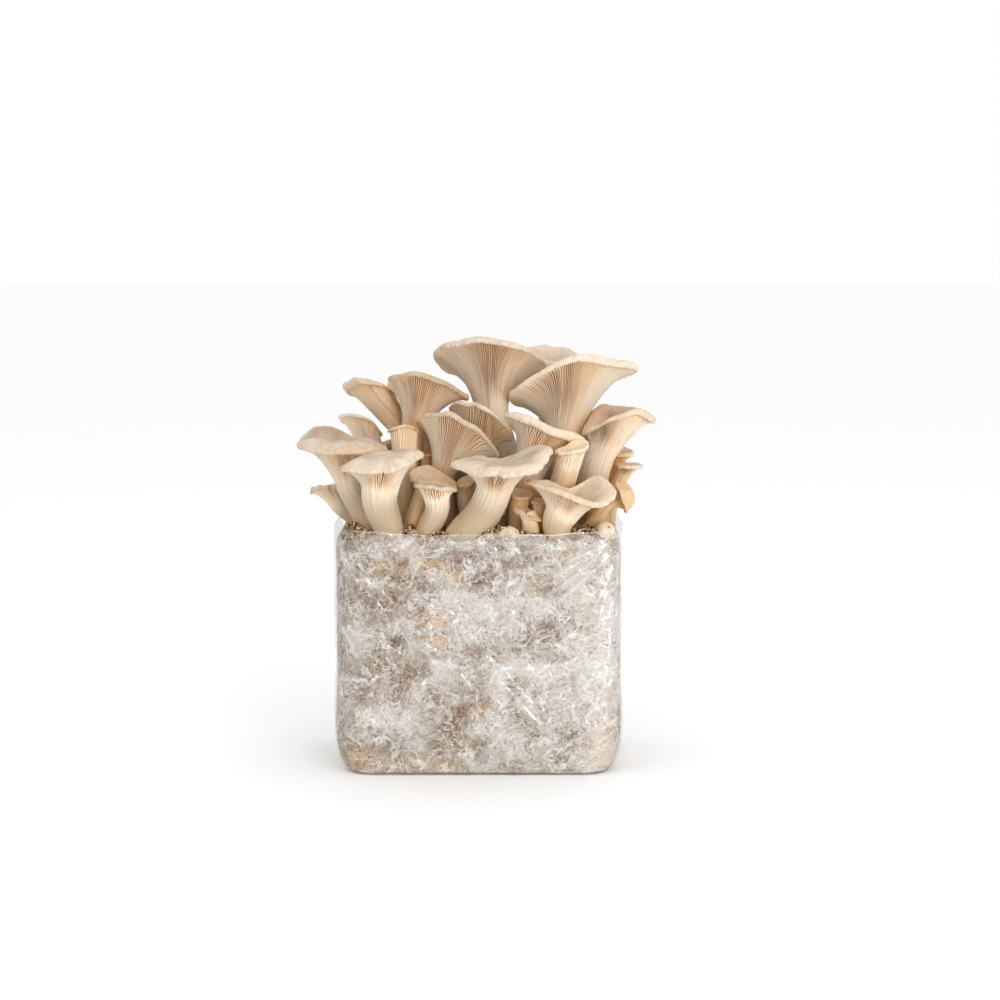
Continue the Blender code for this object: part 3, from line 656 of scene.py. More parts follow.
class Cap:
    """A cap's margin round its axis, read at any turn from 0 to 1, and the underside and skin that reach it."""

    def __init__(self, shape, rng):
        rim = closed_curve(shape["rim"], MARGIN_PLACES)
        self.neck = np.array(shape["neck"][:3], float)
        self.neck_radius = shape["neck"][3]
        self.lip, self.droop, self.dish, self.crown = (shape[key] for key in ("lip", "droop", "dish", "crown"))
        self.axis = unit(np.mean(shape["rim"], axis=0) - self.neck)
        self.sides = side_axes(self.axis)
        self.turns = np.arange(MARGIN_PLACES) / MARGIN_PLACES
        self.length = np.linalg.norm(rim - np.roll(rim, 1, axis=0), axis=1).sum()
        height = (rim - self.neck) @ self.axis
        spoke = rim - self.neck - np.outer(height, self.axis)
        reach = np.linalg.norm(spoke, axis=1)
        spoke /= reach[:, None]
        self.mean_height = height.mean()
        self.spokes = [spoke @ side for side in self.sides]

        # The margin strays a little from the smooth curve, and a notch cuts into it
        room = min(1.0, self.length / FULL_MARGIN)
        reach = reach + room * shape["wavy"] * ripples(rng, self.turns, 0, (3, 8), 1)
        self.height = height + room * shape["wavy"] * 0.8 * ripples(rng, self.turns, 0, (3, 9), 1)
        self.fray = shape["ragged"] * ripples(rng, self.turns, 0, (30, 70), 1, 12)
        self.lump = 0.3 * room * ripples(rng, self.turns, 0, (9, 28), 1, 8)
        self.sag = np.zeros(MARGIN_PLACES)
        for place, width, depth in shape["notches"]:
            away = away_round(self.turns, place) * self.length / RIM_POINTS
            reach = reach - depth * bell(away, width)
            self.sag += 0.6 * depth * bell(away, 3 * width)
        self.reach = reach

    def read(self, turn, *rows):
        return [np.interp(turn, self.turns, row, period=1.0) for row in rows]

    def spoke(self, turn):
        flat = np.column_stack(self.read(turn, *self.spokes))
        flat /= np.linalg.norm(flat, axis=1)[:, None]
        return flat

    def ring(self, turn, profile, share):
        """Points where a profile of the cap lies at a share of its way."""
        out, up = profile(turn, share)
        return self.neck + out[:, None] * (self.spoke(turn) @ self.sides) + np.outer(up, self.axis)

    def under(self, turn, share):
        """Out and up of the gills' edge, at a share of the way from the neck to the margin."""
        reach, height = self.read(turn, self.reach, self.height)
        b1, b2, b3 = 3 * (1 - share) ** 2 * share, 3 * (1 - share) * share**2, share**3
        out = self.neck_radius + (reach - self.neck_radius) * (0.05 * b1 + 0.6 * b2 + b3)
        return out, height * (0.45 * b1 + 0.95 * b2 + b3) + self.droop * b2

    def margin(self, turn, share):
        """Out and up round the thick margin, from the gills' edge to the skin."""
        out, up = cubic(MARGIN_CURVE, share)
        round_it = math.sin(math.pi * share)
        reach, height, fray, lump = self.read(turn, self.reach, self.height, self.fray, self.lump)
        fray = fray * (round_it + 0.4 * (share < 0.2))
        lump = lump * round_it
        return reach + self.lip * out + fray + lump, height + self.lip * up - fray + 0.5 * lump

    def skin(self, turn, share):
        """Out and up of the cap's skin, at a share of the way from its middle to the margin."""
        reach, height, sag = self.read(turn, self.reach, self.height, self.sag)
        middle = self.mean_height + self.lip - self.dish
        edge = height + self.lip
        bowl = math.sqrt(share * share + DISH_SOFTNESS) - math.sqrt(DISH_SOFTNESS) * (1 - share)
        up = middle + (edge - middle) * bowl / math.sqrt(1 + DISH_SOFTNESS)
        up = up + self.crown * CROWN_FACTOR * share * share * (1 - share)
        up = up - sag * share**3 * (1 - share) * 4
        out = (reach - 0.25 * self.lip) * share

        # The flesh between gills and skin is never thinner than most of the margin
        below = np.array([self.under(turn, step) for step in np.linspace(0, 1, 24)])
        slope = np.gradient(below[:, 1], axis=0) / np.maximum(np.gradient(below[:, 0], axis=0), 0.01)
        flesh = below[:, 1] + 0.75 * self.lip * np.sqrt(1 + np.clip(slope, -2, 2) ** 2)
        flesh = np.array([np.interp(out[i], below[:, 0, i], flesh[:, i]) for i in range(len(out))])
        thick = (up + flesh + np.sqrt((up - flesh) ** 2 + 1.0)) / 2
        return out, up + (thick - up) * smooth(1.0, 0.9, share)


class Stem:
    """A stem from its foot in the block to its cap's neck."""

    def __init__(self, shape, cap, bulge):
        foot_x, foot_y, self.foot_radius = shape["foot"]
        foot = np.array([foot_x, foot_y, TOP - FOOT_DEPTH])
        self.cap = cap
        self.bulge = bulge
        self.length = np.linalg.norm(cap.neck - foot)
        pull = 0.38 * self.length
        start = unit(np.array([*shape["lean"], 1.0]))
        self.controls = (foot, foot + start * pull, cap.neck - cap.axis * pull, cap.neck)

    def ring(self, turn, share):
        """Points at a share of the way up, and how far up it is in mm."""
        slope = cubic(self.controls, min(share + 0.01, 1.0)) - cubic(self.controls, max(share - 0.01, 0.0))
        direction = unit(UP + (unit(slope) - UP) * smooth(0.0, 0.2, share))
        radius = self.foot_radius + (self.cap.neck_radius - self.foot_radius) * share
        uneven = 1 + 0.045 * self.bulge(turn, share * self.length) * (1 - share) ** 0.5
        swell = 1 + 0.06 * bell(share, 0.1)
        flat = self.cap.spoke(turn) * (radius * uneven * swell)[:, None]
        return cubic(self.controls, share) + flat @ side_axes(direction), share * self.length


class Growth:
    """The rings of points of a fruit body, from its foot to its cap's middle, with marks kept at them."""

    def __init__(self, spread):
        self.spread = spread
        self.rings, self.ways, self.marks = [], [], []

    def add(self, points, turn, along, **marks):
        """A ring at turns round the body and along it in mm, with its marks, which are 0 where they aren't given."""
        skin, old = marks.get("skin", 0.0), marks.get("old", 0.0)
        marks["old"] = old * (1 - skin) + (1 - old) * smooth(*BROWNER_BETWEEN, points[:, 2]) * BROWNER_SHARE * (1 - skin)
        around = TURN * turn
        way = (np.cos(around) * self.spread, np.sin(around) * self.spread, np.full(len(turn), along / FIBRE_LENGTH))
        self.rings.append(points)
        self.ways.append(np.column_stack(way))
        self.marks.append(np.array([np.broadcast_to(marks.get(key, 0.0), len(turn)) for key in MARKS]))

    def mesh(self):
        """Points, faces and what is kept at the points."""
        faces = []
        start = 0
        for lower, upper in zip(self.rings, self.rings[1:]):
            faces += strip(start, len(lower), start + len(lower), len(upper))
            start += len(lower)
        faces.append(tuple(reversed(range(len(self.rings[0])))))
        faces.append(tuple(range(start, start + len(self.rings[-1]))))
        attributes = dict(zip(MARKS, np.concatenate(self.marks, axis=1)), growth=np.concatenate(self.ways))
        return np.concatenate(self.rings), faces, attributes


def strip(low, low_count, high, high_count):
    """Faces between two rings, which have as many points or four times as many."""
    if low_count == high_count:
        here = np.arange(low_count)
        there = (here + 1) % low_count
        return np.column_stack([low + here, low + there, high + there, high + here]).tolist()
    faces = []
    few = min(low_count, high_count)
    for i in range(few):
        j = (i + 1) % few
        many = [(GILL_POINTS * i + k) % (GILL_POINTS * few) for k in range(GILL_POINTS + 1)]
        if low_count < high_count:
            faces.append((low + i, low + j, *(high + k for k in reversed(many))))
        else:
            faces.append((*(low + k for k in many), high + j, high + i))
    return faces


def outward_of(rings):
    """Which way is out of the body at each point of its rings."""
    across = np.roll(rings, -1, axis=1) - np.roll(rings, 1, axis=1)
    outward = np.cross(across, np.gradient(rings, axis=0))
    return outward / np.linalg.norm(outward, axis=2)[:, :, None]


def grow_mushroom(shape, settings, seed):
    """Points, faces and surface numbers of one fruit body, grown ring by ring from its foot to its cap's middle."""
    rng = np.random.default_rng(seed)
    cap = Cap(shape, rng)
    gills = max(FEWEST_GILLS, round(cap.length / settings.gill_spacing))
    coarse = np.arange(gills) / gills
    fine = np.arange(GILL_POINTS * gills) / (GILL_POINTS * gills)
    depth = min(settings.gill_depth, GILL_DEPTH_SHARE * cap.length) * (0.4 + 0.6 * shape["gills"])
    stray = waver(rng, (max(3, gills // 7), max(5, gills // 3)), 0.4, 7)
    stem = Stem(shape, cap, waver(rng, (2, 5), 0.06, 4))
    uneven = waver(rng, (8, 26), 0.05, 8)
    hollows = waver(rng, (2, 6), 0.12, 4)
    # Where round each mushroom the painted shade in and under its gills is darkest
    shaded_side_place, shaded_side_width = shape["shaded_side"]
    shaded_side = 0.4 + 0.6 * bell(away_round(fine, shaded_side_place), shaded_side_width)
    growth = Growth(settings.fibres * cap.length / TURN)

    shares = np.linspace(0, 1, max(8, round(stem.length / STEM_STEP)) + 1)
    for share in shares[shares < GILLS_END]:
        points, along = stem.ring(coarse, share)
        growth.add(points, coarse, along, low=smooth(16, 2, along), old=smooth(0.9, 0.1, share))

    # The gilled part is laid out first and then cut in between the gills. Its level is below 0 on the stem and goes
    # up to 1 at the margin. Every fourth gill runs down the stem, and those between start at the neck or beyond it
    sheet = [(share, share - 1, STEM_GILLS * smooth(GILLS_END, 1.05, share)) for share in shares[shares >= GILLS_END]]
    for share in 1 - np.linspace(1, 0, settings.gill_rows)[1:] ** CLOSER:
        swell = 0.4 + 0.6 * smooth(0.0, 0.45, share)
        sheet.append((share, share, swell * (1 - 0.5 * smooth(0.8, 1.0, share))))
    number = np.arange(len(fine)) // GILL_POINTS
    from_neck = number % 4 == 2
    from_beyond = number % 2 == 1
    laid, alongs = [], []
    along = 0.0
    for share, level, _ in sheet:
        turn = fine + stray(fine, along) * 0.15 / gills * smooth(-0.3, 0.15, level)
        if level > 0:
            points = cap.ring(turn, cap.under, share)
            along += np.linalg.norm(points - laid[-1], axis=1).mean()
        else:
            points, along = stem.ring(turn, share)
        laid.append(points)
        alongs.append(along)
    laid = np.array(laid)
    for points, outward, along, (_, level, amount) in zip(laid, outward_of(laid), alongs, sheet):
        keep = 1 - from_neck * (1 - smooth(-0.15, 0.15, level)) - from_beyond * (1 - smooth(0.1, 0.4, level))
        valley = 1 - np.tile(GILL_WAVE, gills) * keep
        vary = np.clip(1 + 0.15 * uneven(fine, along) + 0.15 * hollows(fine, along), 0.5, 1.4)
        cut = np.minimum(depth * amount * vary, 0.5 * cap.lip if level > 0 else depth) * valley
        deep = valley**1.5 * vary * shape["gills"] * shaded_side
        growth.add(
            points - outward * cut[:, None],
            fine,
            along,
            gilled=smooth(-0.4, 0.2, level),
            # Painted shade on gills that face down, most on the shaded side
            flare=smooth(0.0, -0.75, outward[:, 2]) * (0.45 + 0.55 * shaded_side) * (0.4 + 0.6 * valley),
            # Painted shade: the depths between gills are browned, most on the shaded side
            recess=amount * deep * (0.5 + 0.9 * smooth(0.0, 0.5, level)),
            old=smooth(-0.1, -0.9, level),
        )

    # Rings go round the margin's thickness, from the gills' edge, which is darker brown here and there, to the skin
    edge = dict(gilled=1, recess=np.clip(0.25 + 0.5 * hollows(fine, 40), 0, 1))
    skin = dict(skin=1, margin=1)
    coarse_rings = [(share, coarse, skin) for share in (0.48, 0.66, 0.84, 1.0)]
    for share, turn, marks in [(0.12, fine, edge), (0.3, fine, skin)] + coarse_rings:
        along += 0.2 * cap.lip
        growth.add(cap.ring(turn, cap.margin, share), turn, along, **marks)
    unevenness = uneven(coarse, 0)
    for share in 1 - np.linspace(0, 1, settings.skin_rows + 2)[1:-1] ** CLOSER:
        inward = (1 - share) * cap.reach.mean()
        points = cap.ring(coarse, cap.skin, share)
        points += np.outer(0.22 * unevenness * smooth(0, 4, inward) * share, cap.axis)
        growth.add(points, coarse, along + inward, skin=1.0, margin=smooth(9, 0, inward))
    return growth.mesh()


# The space about the cluster, as cells in mm: where it starts and how many there are each way
CROWD_CELL = 5.0
CROWD_START = np.array([-150.0, -100.0, TOP - 15.0])
CROWD_SHAPE = np.array([60, 44, 36])


def painted_crowd_shade(grown):
    """How closely other mushrooms stand round each point of each one, from 0 to 1, by how full the space about is: the
    mask of the painted shade between mushrooms.
    """
    places, filled = [], []
    for points in grown:
        index = np.clip(((points - CROWD_START) / CROWD_CELL).astype(int), 0, CROWD_SHAPE - 1)
        places.append(tuple(index.T))
        full = np.zeros(CROWD_SHAPE)
        full[places[-1]] = 1.0
        for axis in (0, 0, 0, 1, 1, 1, 2, 2, 2):
            full = (np.roll(full, 1, axis) + full + np.roll(full, -1, axis)) / 3
        filled.append(full)
    total = sum(filled)
    return [smooth(0.03, 0.42, (total - own)[place]) for place, own in zip(places, filled)]


# ---------------------------------------------------------------- bag, block and crumbs

# The bevel that rounds a corner to its radius, as a share of that radius
CORNER_BEVEL = 0.7


def wall_inset(height, base_inset):
    """How far the bag's wall stands inside its full width at a height: rounded in at the base, slack above it."""
    rest = max(0.0, 1 - height / BASE_ROUNDING)
    rounding = base_inset * (1 - math.sqrt(1 - rest * rest))
    return rounding - SAG * bell(height - SAG_HEIGHT, SAG_SPREAD)


def bag_form(name, levels, cell):
    """A closed form with the bag's outline, extruded from its base through levels of (height, inset), as even cells."""
    sizes = []
    for height, inset in levels:
        across = HALF_WIDTH - wall_inset(height, SIDE_INSET) - inset
        along = HALF_DEPTH - wall_inset(height, FRONT_INSET) - inset
        sizes.append((across * 2 * MM, along * 2 * MM, height * MM))
    deselect()
    bpy.ops.mesh.primitive_plane_add(size=1, location=(0, 0, sizes[0][2]))
    form = bpy.context.object
    form.name = form.data.name = name
    bpy.ops.object.mode_set(mode="EDIT")
    bpy.ops.transform.resize(value=(sizes[0][0], sizes[0][1], 1))
    bpy.ops.mesh.bevel(offset=CORNER * MM * CORNER_BEVEL, segments=8, affect="VERTICES")
    for (width, depth, low), (next_width, next_depth, high) in zip(sizes, sizes[1:]):
        bpy.ops.mesh.extrude_region_move(TRANSFORM_OT_translate={"value": (0, 0, high - low)})
        wider = (next_width / width, next_depth / depth, 1)
        bpy.ops.transform.resize(value=wider, center_override=(0, 0, high))
    bpy.ops.mesh.select_all(action="SELECT")
    bpy.ops.mesh.normals_make_consistent(inside=False)
    bpy.ops.object.mode_set(mode="OBJECT")
    bpy.ops.object.transform_apply(location=True, rotation=True, scale=True)
    even = form.modifiers.new("even cells", "REMESH")
    even.mode = "VOXEL"
    even.voxel_size = cell * MM
    soften = form.modifiers.new("softened", "SMOOTH")
    soften.factor = 0.5
    soften.iterations = 4
    for modifier in (even, soften):
        bpy.ops.object.modifier_apply(modifier=modifier.name)
    form.data.shade_smooth()
    return form


# Heaps of crumbs and mycelium on the block's top: middle (x, y), radius and height
HEAPS = (
    (-88, -40, 11, 7.0), (-82, -52, 8, 5.0), (-56, -56, 6, 3.0), (-50, -46, 8, 7.0), (-26, -56, 7, 2.5),
    (8, -54, 8, 5.0), (15, -44, 8, 6.0), (32, -56, 9, 3.0), (70, -50, 9, 5.5), (76, -42, 8, 6.0), (60, -40, 7, 3.0),
    (-70, -18, 9, 4.0), (-30, -26, 8, 4.0), (70, -10, 9, 3.0), (-92, 16, 9, 4.0), (-20, 52, 10, 4.0),
    (44, 55, 10, 4.0), (-52, 54, 8, 3.5), (92, 40, 9, 4.0), (0, 30, 10, 3.0), (60, 30, 8, 3.0),
)

# Places on the front where the mycelium is thin over brown sawdust: middle (x, z), half sizes and strength
BARE_AND_SHADED_PATCHES = (
    (0.5, 51, 8, 8, 1.5), (-12, 45, 8, 6, 1.2), (-34, 62, 3, 3, 0.8), (2, 88, 5, 5, 1.2), (-56, 96, 7, 7, 1.0),
    (-44, 78, 9, 9, 0.8), (-38, 108, 8, 8, 0.6), (-62, 128, 8, 8, 0.7), (-2, 138, 9, 6, 1.0), (20, 152, 8, 5, 0.8),
    (52, 100, 9, 8, 0.9), (26, 62, 6, 6, 0.7), (44, 58, 8, 8, 0.7), (28, 96, 6, 6, 0.6), (66, 26, 8, 7, 0.8),
    (42, 36, 10, 9, 0.5), (-6, 24, 9, 5, 0.5), (-30, 32, 10, 7, 0.5), (-80, 60, 9, 10, 0.4), (50, 132, 8, 8, 0.4),
    # The wide patch at (-64, 126) is painted shade, darkening the block's upper left where less light falls
    (-14, 158, 14, 5, 0.9), (46, 158, 20, 5, 0.5), (-64, 126, 34, 36, 0.5), (-84, 20, 5, 4, 0.7),
    (84, 38, 4, 3, 0.7), (78, 90, 8, 14, 0.3),
)
STAINS = (
    (-44, 158, 6, 4, 1.3), (-32, 150, 9, 5, 1.2), (-18, 143, 7, 4, 1.0), (-32, 112, 9, 9, 1.2), (-28, 96, 6, 4, 1.4),
    (-38, 98, 6, 2, 1.0), (40, 134, 7, 4, 0.8), (-88, 12, 12, 7, 0.8), (84, 16, 10, 10, 1.2), (88, 34, 7, 8, 1.0),
    (78, 124, 9, 22, 0.5), (66, 156, 22, 8, 0.6), (2, 48, 9, 9, 0.6), (10, 82, 8, 3, 0.9), (-66, 150, 12, 8, 0.4),
    (-40, 8, 40, 5, 0.4), (92, 60, 5, 20, 0.4),
)
PALE_AND_LIT_PATCHES = (
    (-20, 128, 12, 9, 1.2), (4, 118, 16, 10, 1.2), (-8, 112, 10, 8, 1.0), (22, 104, 8, 16, 1.0), (46, 118, 14, 8, 0.7),
    (30, 78, 28, 5, 1.4), (14, 66, 8, 14, 1.0), (80, 76, 14, 18, 0.8), (-70, 40, 20, 10, 0.6), (20, 32, 18, 8, 0.7),
    # The tall patch at (86, 90) is painted light, lightening the block's right edge where more light falls
    (72, 140, 18, 14, 0.7), (-24, 84, 10, 20, 0.6), (86, 90, 14, 70, 0.9), (56, 60, 30, 40, 0.4),
)

# The two front corners of the block's top are worn away: where, and how far they fall
WORN_CORNERS = ((-98, -56, 9.0), (99, -56, 8.0))


def spots(x, z, places):
    """How strongly each point is within the places, each a soft oval."""
    total = np.zeros(len(x))
    for middle_x, middle_z, half_width, half_height, strength in places:
        away = ((x - middle_x) / half_width) ** 2 + ((z - middle_z) / half_height) ** 2
        total += strength * np.exp(-away)
    return total


def shape_block(block):
    """Roughens the block, wears its top corners and heaps its top up round the stems."""
    mesh = block.data
    points = points_of(mesh)
    normals = vectors_of(mesh.vertex_normals, "vector")
    x, y, z = points.T
    rough = 0.45 * field(points, 11.0) + 0.3 * field(points, 3.6)
    points = points + normals * (np.minimum(rough, 0.25) - 0.15)[:, None]

    # Only the top is heaped up, fading in from its edge
    edge_out = np.minimum(HALF_WIDTH - np.abs(x), HALF_DEPTH - np.abs(y))
    inside = smooth(TOP - 5, TOP - 1, z) * smooth(1.0, 6.0, edge_out)
    rise = 1.1 * field(points, 7.0) + 0.7 * field(points, 2.8)
    for foot_x, foot_y, radius in (shape["foot"] for shape in MUSHROOMS.values()):
        collar = 2.6 * bell(np.hypot(x - foot_x, y - foot_y) - radius, 3.5)
        rise = np.maximum(rise, collar + 0.5 * rise)
    for heap_x, heap_y, radius, height in HEAPS:
        rise = np.maximum(rise, height * bell(np.hypot(x - heap_x, y - heap_y), radius) + 0.5 * rise)
    lumpy = 0.5 * field(points, 2.4)
    lump = np.zeros(len(x))
    for lump_x, lump_y, radius, height in LUMPS:
        away = np.hypot(x - lump_x, y - lump_y)
        dome = height * np.sqrt(np.clip(1 - (away / radius) ** 2, 0, 1)) + lumpy
        rise = np.maximum(rise, dome * smooth(radius, 0.8 * radius, away))
        lump = np.maximum(lump, smooth(radius * 1.15, radius * 0.8, away))
    points[:, 2] += np.maximum(rise, -1.5) * inside
    for corner_x, corner_y, fall in WORN_CORNERS:
        away = np.hypot(x - corner_x, (y - corner_y) * 0.8)
        points[:, 2] -= fall * smooth(16, 2, away) * smooth(TOP - 40, TOP - 4, z)
    move_points(mesh, points)

    # The patches are placed on the front, and strewn at random on the other sides
    front = smooth(-40, -55, y) * smooth(TOP + 2, TOP - 3, z)
    above = smooth(TOP - 3, TOP, points[:, 2]) * smooth(2, 8, edge_out)
    random_bare = 0.25 + 0.9 * field(points, 22.0)
    random_stain = np.clip(field(points + 90, 26.0) * 1.4 - 0.1, 0, 1)
    bare = spots(x, z, BARE_AND_SHADED_PATCHES) * front + np.clip(random_bare, 0, 1.2) * (1 - front) * 0.7
    stain = spots(x, z, STAINS) * front + random_stain * (1 - front) * 0.7
    pale = spots(x, z, PALE_AND_LIT_PATCHES) * front + np.clip(-random_bare, 0, 1) * (1 - front)
    store(
        mesh,
        bare=bare + above * 1.1 * (1 - lump),
        stain=np.clip(stain + above * 0.6 + lump * 0.5 * above, 0, 1.5),
        pale=pale + lump * above,
        lump=lump * above,
    )


# Creases of the film, each a ridge between two points (x, z) of the front, with its half width and its height
CREASES = (
    (-101, 168, -92, 152, 1.6, 1.0), (-92, 152, -70, 132, 2.2, 0.8), (-70, 132, -52, 118, 2.4, 0.5),
    (-101, 160, -99, 120, 1.4, 1.0), (-99, 120, -100, 60, 1.6, 0.8), (-94, 150, -84, 120, 1.5, 0.7),
    (-98, 112, -84, 84, 1.6, 1.0), (-84, 84, -80, 62, 1.4, 0.6), (-80, 140, -64, 112, 1.2, 0.6),
    (92, 164, 62, 153, 1.3, 1.6), (92, 162, 44, 140, 1.3, 1.3), (86, 158, 56, 134, 1.2, 1.3),
    (94, 158, 52, 122, 1.4, 1.4), (78, 160, 40, 150, 1.2, 1.0), (96, 150, 80, 118, 1.2, 0.9),
    (98, 160, 99, 90, 1.4, 1.2), (95, 128, 92, 84, 1.2, 0.9), (99, 90, 93, 62, 1.4, 0.8),
    (16, 78, 40, 77, 1.4, 1.5), (40, 77, 66, 82, 1.4, 1.3), (66, 82, 84, 108, 1.4, 1.0), (84, 108, 92, 140, 1.4, 0.7),
    (16, 78, 2, 88, 1.3, 0.9), (16, 78, 34, 55, 1.6, 0.8), (14, 70, 40, 40, 1.2, 0.9), (34, 55, 48, 44, 1.2, 0.6),
    (84, 80, 74, 60, 1.0, 1.7), (92, 78, 88, 60, 1.0, 1.0), (84, 32, 100, 42, 1.4, -1.3), (64, 22, 84, 32, 1.4, -0.7),
    (-38, 124, -4, 112, 1.3, 0.9), (-42, 130, -8, 132, 1.3, 0.7), (-4, 112, 16, 118, 1.3, 0.6),
    (-24, 86, -4, 62, 1.4, 0.8), (-4, 62, 10, 44, 1.3, 0.3), (-40, 96, -24, 86, 1.2, 0.6),
    (-34, 108, -33, 96, 1.0, 1.1), (-52, 60, -14, 44, 1.2, 0.5), (-90, 50, -60, 30, 1.2, 0.5),
    (-64, 40, -20, 26, 1.2, 0.4), (4, 30, 60, 24, 1.2, 0.4), (22, 98, 24, 120, 1.2, 0.8), (24, 96, 50, 86, 1.2, 0.8),
    (0, 167, 14, 161, 1.2, 1.0), (38, 166, 60, 162, 1.2, 1.2), (54, 168, 76, 164, 1.0, 0.9),
    (-30, 168, 30, 166, 1.0, 0.6),
)


def crease_height(x, z):
    """How far the film stands out at each point, in mm, along creases that die away at their ends, and how sharply."""
    total = np.zeros(len(x))
    sharp = np.zeros(len(x))
    for x0, z0, x1, z1, half_width, height in CREASES:
        across, up = x1 - x0, z1 - z0
        share = np.clip(((x - x0) * across + (z - z0) * up) / (across**2 + up**2), -0.1, 1.1)
        away = np.hypot(x - x0 - share * across, z - z0 - share * up)
        fade = smooth(-0.1, 0.1, share) * smooth(1.1, 0.9, share)
        ridge = fade * bell(away, half_width) * (1 + 0.15 * np.sin(share * 11))
        total += height * ridge
        sharp = np.maximum(sharp, abs(height) * ridge)
    return total, sharp


def shape_film(film, wrinkle):
    """Cockles and creases the film and shapes its rim."""
    mesh = film.data
    points = points_of(mesh)
    normals = vectors_of(mesh.vertex_normals, "vector")
    x, y, z = points.T
    wall = smooth(0.6, 0.2, np.abs(normals[:, 2]))
    front = smooth(-48, -58, y)
    back = smooth(48, 58, y)
    front_rise, front_sharp = crease_height(x, z)
    back_rise, back_sharp = crease_height(-x * 0.97 + 3, z * 0.98)
    side = smooth(84, 98, np.abs(x)) * (1 - front) * (1 - back)
    gusset = bell(y, 5.0) * smooth(90, 98, np.abs(x)) * smooth(30, 90, z)
    rise = 0.55 * np.maximum(field(points * (1, 1, 0.6), 17.0), -0.4) + 0.22 * field(points, 6.0)
    rise = rise + front_rise * front + back_rise * back
    rise = rise + side * 1.1 * np.clip(field(points * (1, 1, 0.3), 9.0), -0.3, 1) - gusset * 0.4
    rise = rise * wall * smooth(1.0, 12.0, z) * wrinkle
    points = points + normals * np.maximum(rise, -0.25)[:, None]

    # Towards the narrow sides the rim stands higher, and it wanders a little all the way round
    lift = RIM_SIDE_LIFT * np.clip(np.abs(x) / HALF_WIDTH, 0, 1) ** 3 + 1.1 * field(points * (1, 1, 0), 21.0)
    points[:, 2] += lift * smooth(TOP - 40, RIM_HEIGHT, z)
    move_points(mesh, points)

    # Doubled film shows along the corners with a grey reflection, a painted shade, stronger on the left where less
    # light falls
    edge = bell(np.abs(x) - 99, 4.5) * smooth(8, 30, z) * np.where(x < 0, 1.0, 0.45)
    store(
        mesh,
        fold=np.clip(front_sharp * front + back_sharp * back, 0, 1.5),
        band=edge * (0.6 + 0.4 * np.clip(field(points, 30.0) * 2, -1, 1)),
        rim=smooth(RIM_HEIGHT - 1.2, RIM_HEIGHT - 0.2, z),
    )


def strew_crumbs(count, surface):
    """Points, faces and tones of crumbs on the block's top between the stems, about half of them on its heaps."""
    rng = np.random.default_rng(71)
    deselect()
    bpy.ops.mesh.primitive_ico_sphere_add(subdivisions=1, radius=1)
    grain = bpy.context.object
    grain_points = np.array([tuple(vertex.co) for vertex in grain.data.vertices])
    grain_faces = np.array([tuple(face.vertices) for face in grain.data.polygons])
    bpy.data.objects.remove(grain)

    feet = np.array([shape["foot"] for shape in MUSHROOMS.values()], float)
    points, faces, tones = [], [], []
    while len(points) < count:
        if rng.random() < 0.55:
            heap_x, heap_y, radius, _ = HEAPS[rng.integers(len(HEAPS))]
            x, y = (heap_x, heap_y) + rng.normal(0, radius * 0.55, 2)
        else:
            x, y = rng.uniform(-98, 98), rng.uniform(-58, 58)
        clear = np.hypot(feet[:, 0] - x, feet[:, 1] - y) - feet[:, 2]
        if abs(x) > 97 or abs(y) > 57.5 or clear.min() < 0.2:
            continue
        nearest = surface[np.argmin(np.hypot(surface[:, 0] - x, surface[:, 1] - y))]
        size = 0.45 + 0.85 * rng.random() ** 2.2
        shape = grain_points * rng.uniform(0.5, 1.25, (len(grain_points), 1)) * rng.uniform(0.5, 1.5, 3) * size
        spin = np.linalg.qr(rng.normal(size=(3, 3)))[0]
        spin[:, 0] *= np.sign(np.linalg.det(spin))
        faces.append(grain_faces + len(grain_points) * len(points))
        points.append(shape @ spin.T + (x, y, nearest[2] + 0.3 * size))
        tones.append(np.full(len(grain_points), rng.random() ** 1.15))
    return np.concatenate(points), np.concatenate(faces).tolist(), np.concatenate(tones)


# ---------------------------------------------------------------- settings


def paint(name, description, default):
    """A colour that a user can change."""
    return FloatVectorProperty(name=name, description=description, subtype="COLOR", default=default)


class MushroomSettings(bpy.types.PropertyGroup):
    """Sizes and colours of the mushrooms."""

    gill_spacing: FloatProperty(name="Gill spacing", description="Between gills at the margin, in mm", default=1.7)
    gill_depth: FloatProperty(name="Gill depth", description="Depth between gills, in mm", default=2.2)
    gill_rows: IntProperty(name="Gill rows", description="Rings from the neck to the margin", default=22)
    skin_rows: IntProperty(name="Skin rows", description="Rings from the margin to the cap's middle", default=14)
    fibres: FloatProperty(name="Fibres", description="How close fibres and streaks lie, as a factor", default=1.0)
    stem_color: paint("Stem", "Stem colour", seen(225, 214, 198))
    stem_shade: paint("Stem shade", "Stem fibres", seen(204, 186, 161))
    gill_color: paint("Gills", "Gill edges", seen(252, 240, 219))
    # Colour of the painted shade on gills that face down
    gill_underside_shade: paint("Older gills", "Older gills", seen(244, 211, 166))
    # Colour of the painted shade in the depths between the gills
    gill_depth_shade_color: paint("Between gills", "Colour between the gills", seen(184, 128, 64))
    # Colour of the painted shade between crowded mushrooms
    crowd_shade_color: paint("Crowded flesh", "Flesh close to its neighbours", seen(240, 190, 128))
    cap_color: paint("Cap", "Cap skin", seen(217, 202, 184))
    cap_shade: paint("Cap shade", "Cap streaks", seen(171, 147, 121))
    # Colour of the pale margins, partly a painted highlight
    margin_and_highlight_color: paint("Margin", "Cap margin", seen(232, 216, 196))
    foot_color: paint("Foot", "Stem near its foot", seen(178, 156, 128))
    # Colour of older flesh, and of the painted shade on left_gap and front_shadow
    tan_and_shade_color: paint("Tan", "Older flesh", seen(216, 172, 116))
    freckle_color: paint("Freckles", "Freckles", seen(186, 140, 90))
    dirt_color: paint("Dirt", "Dirt at the foot", seen(104, 78, 52))


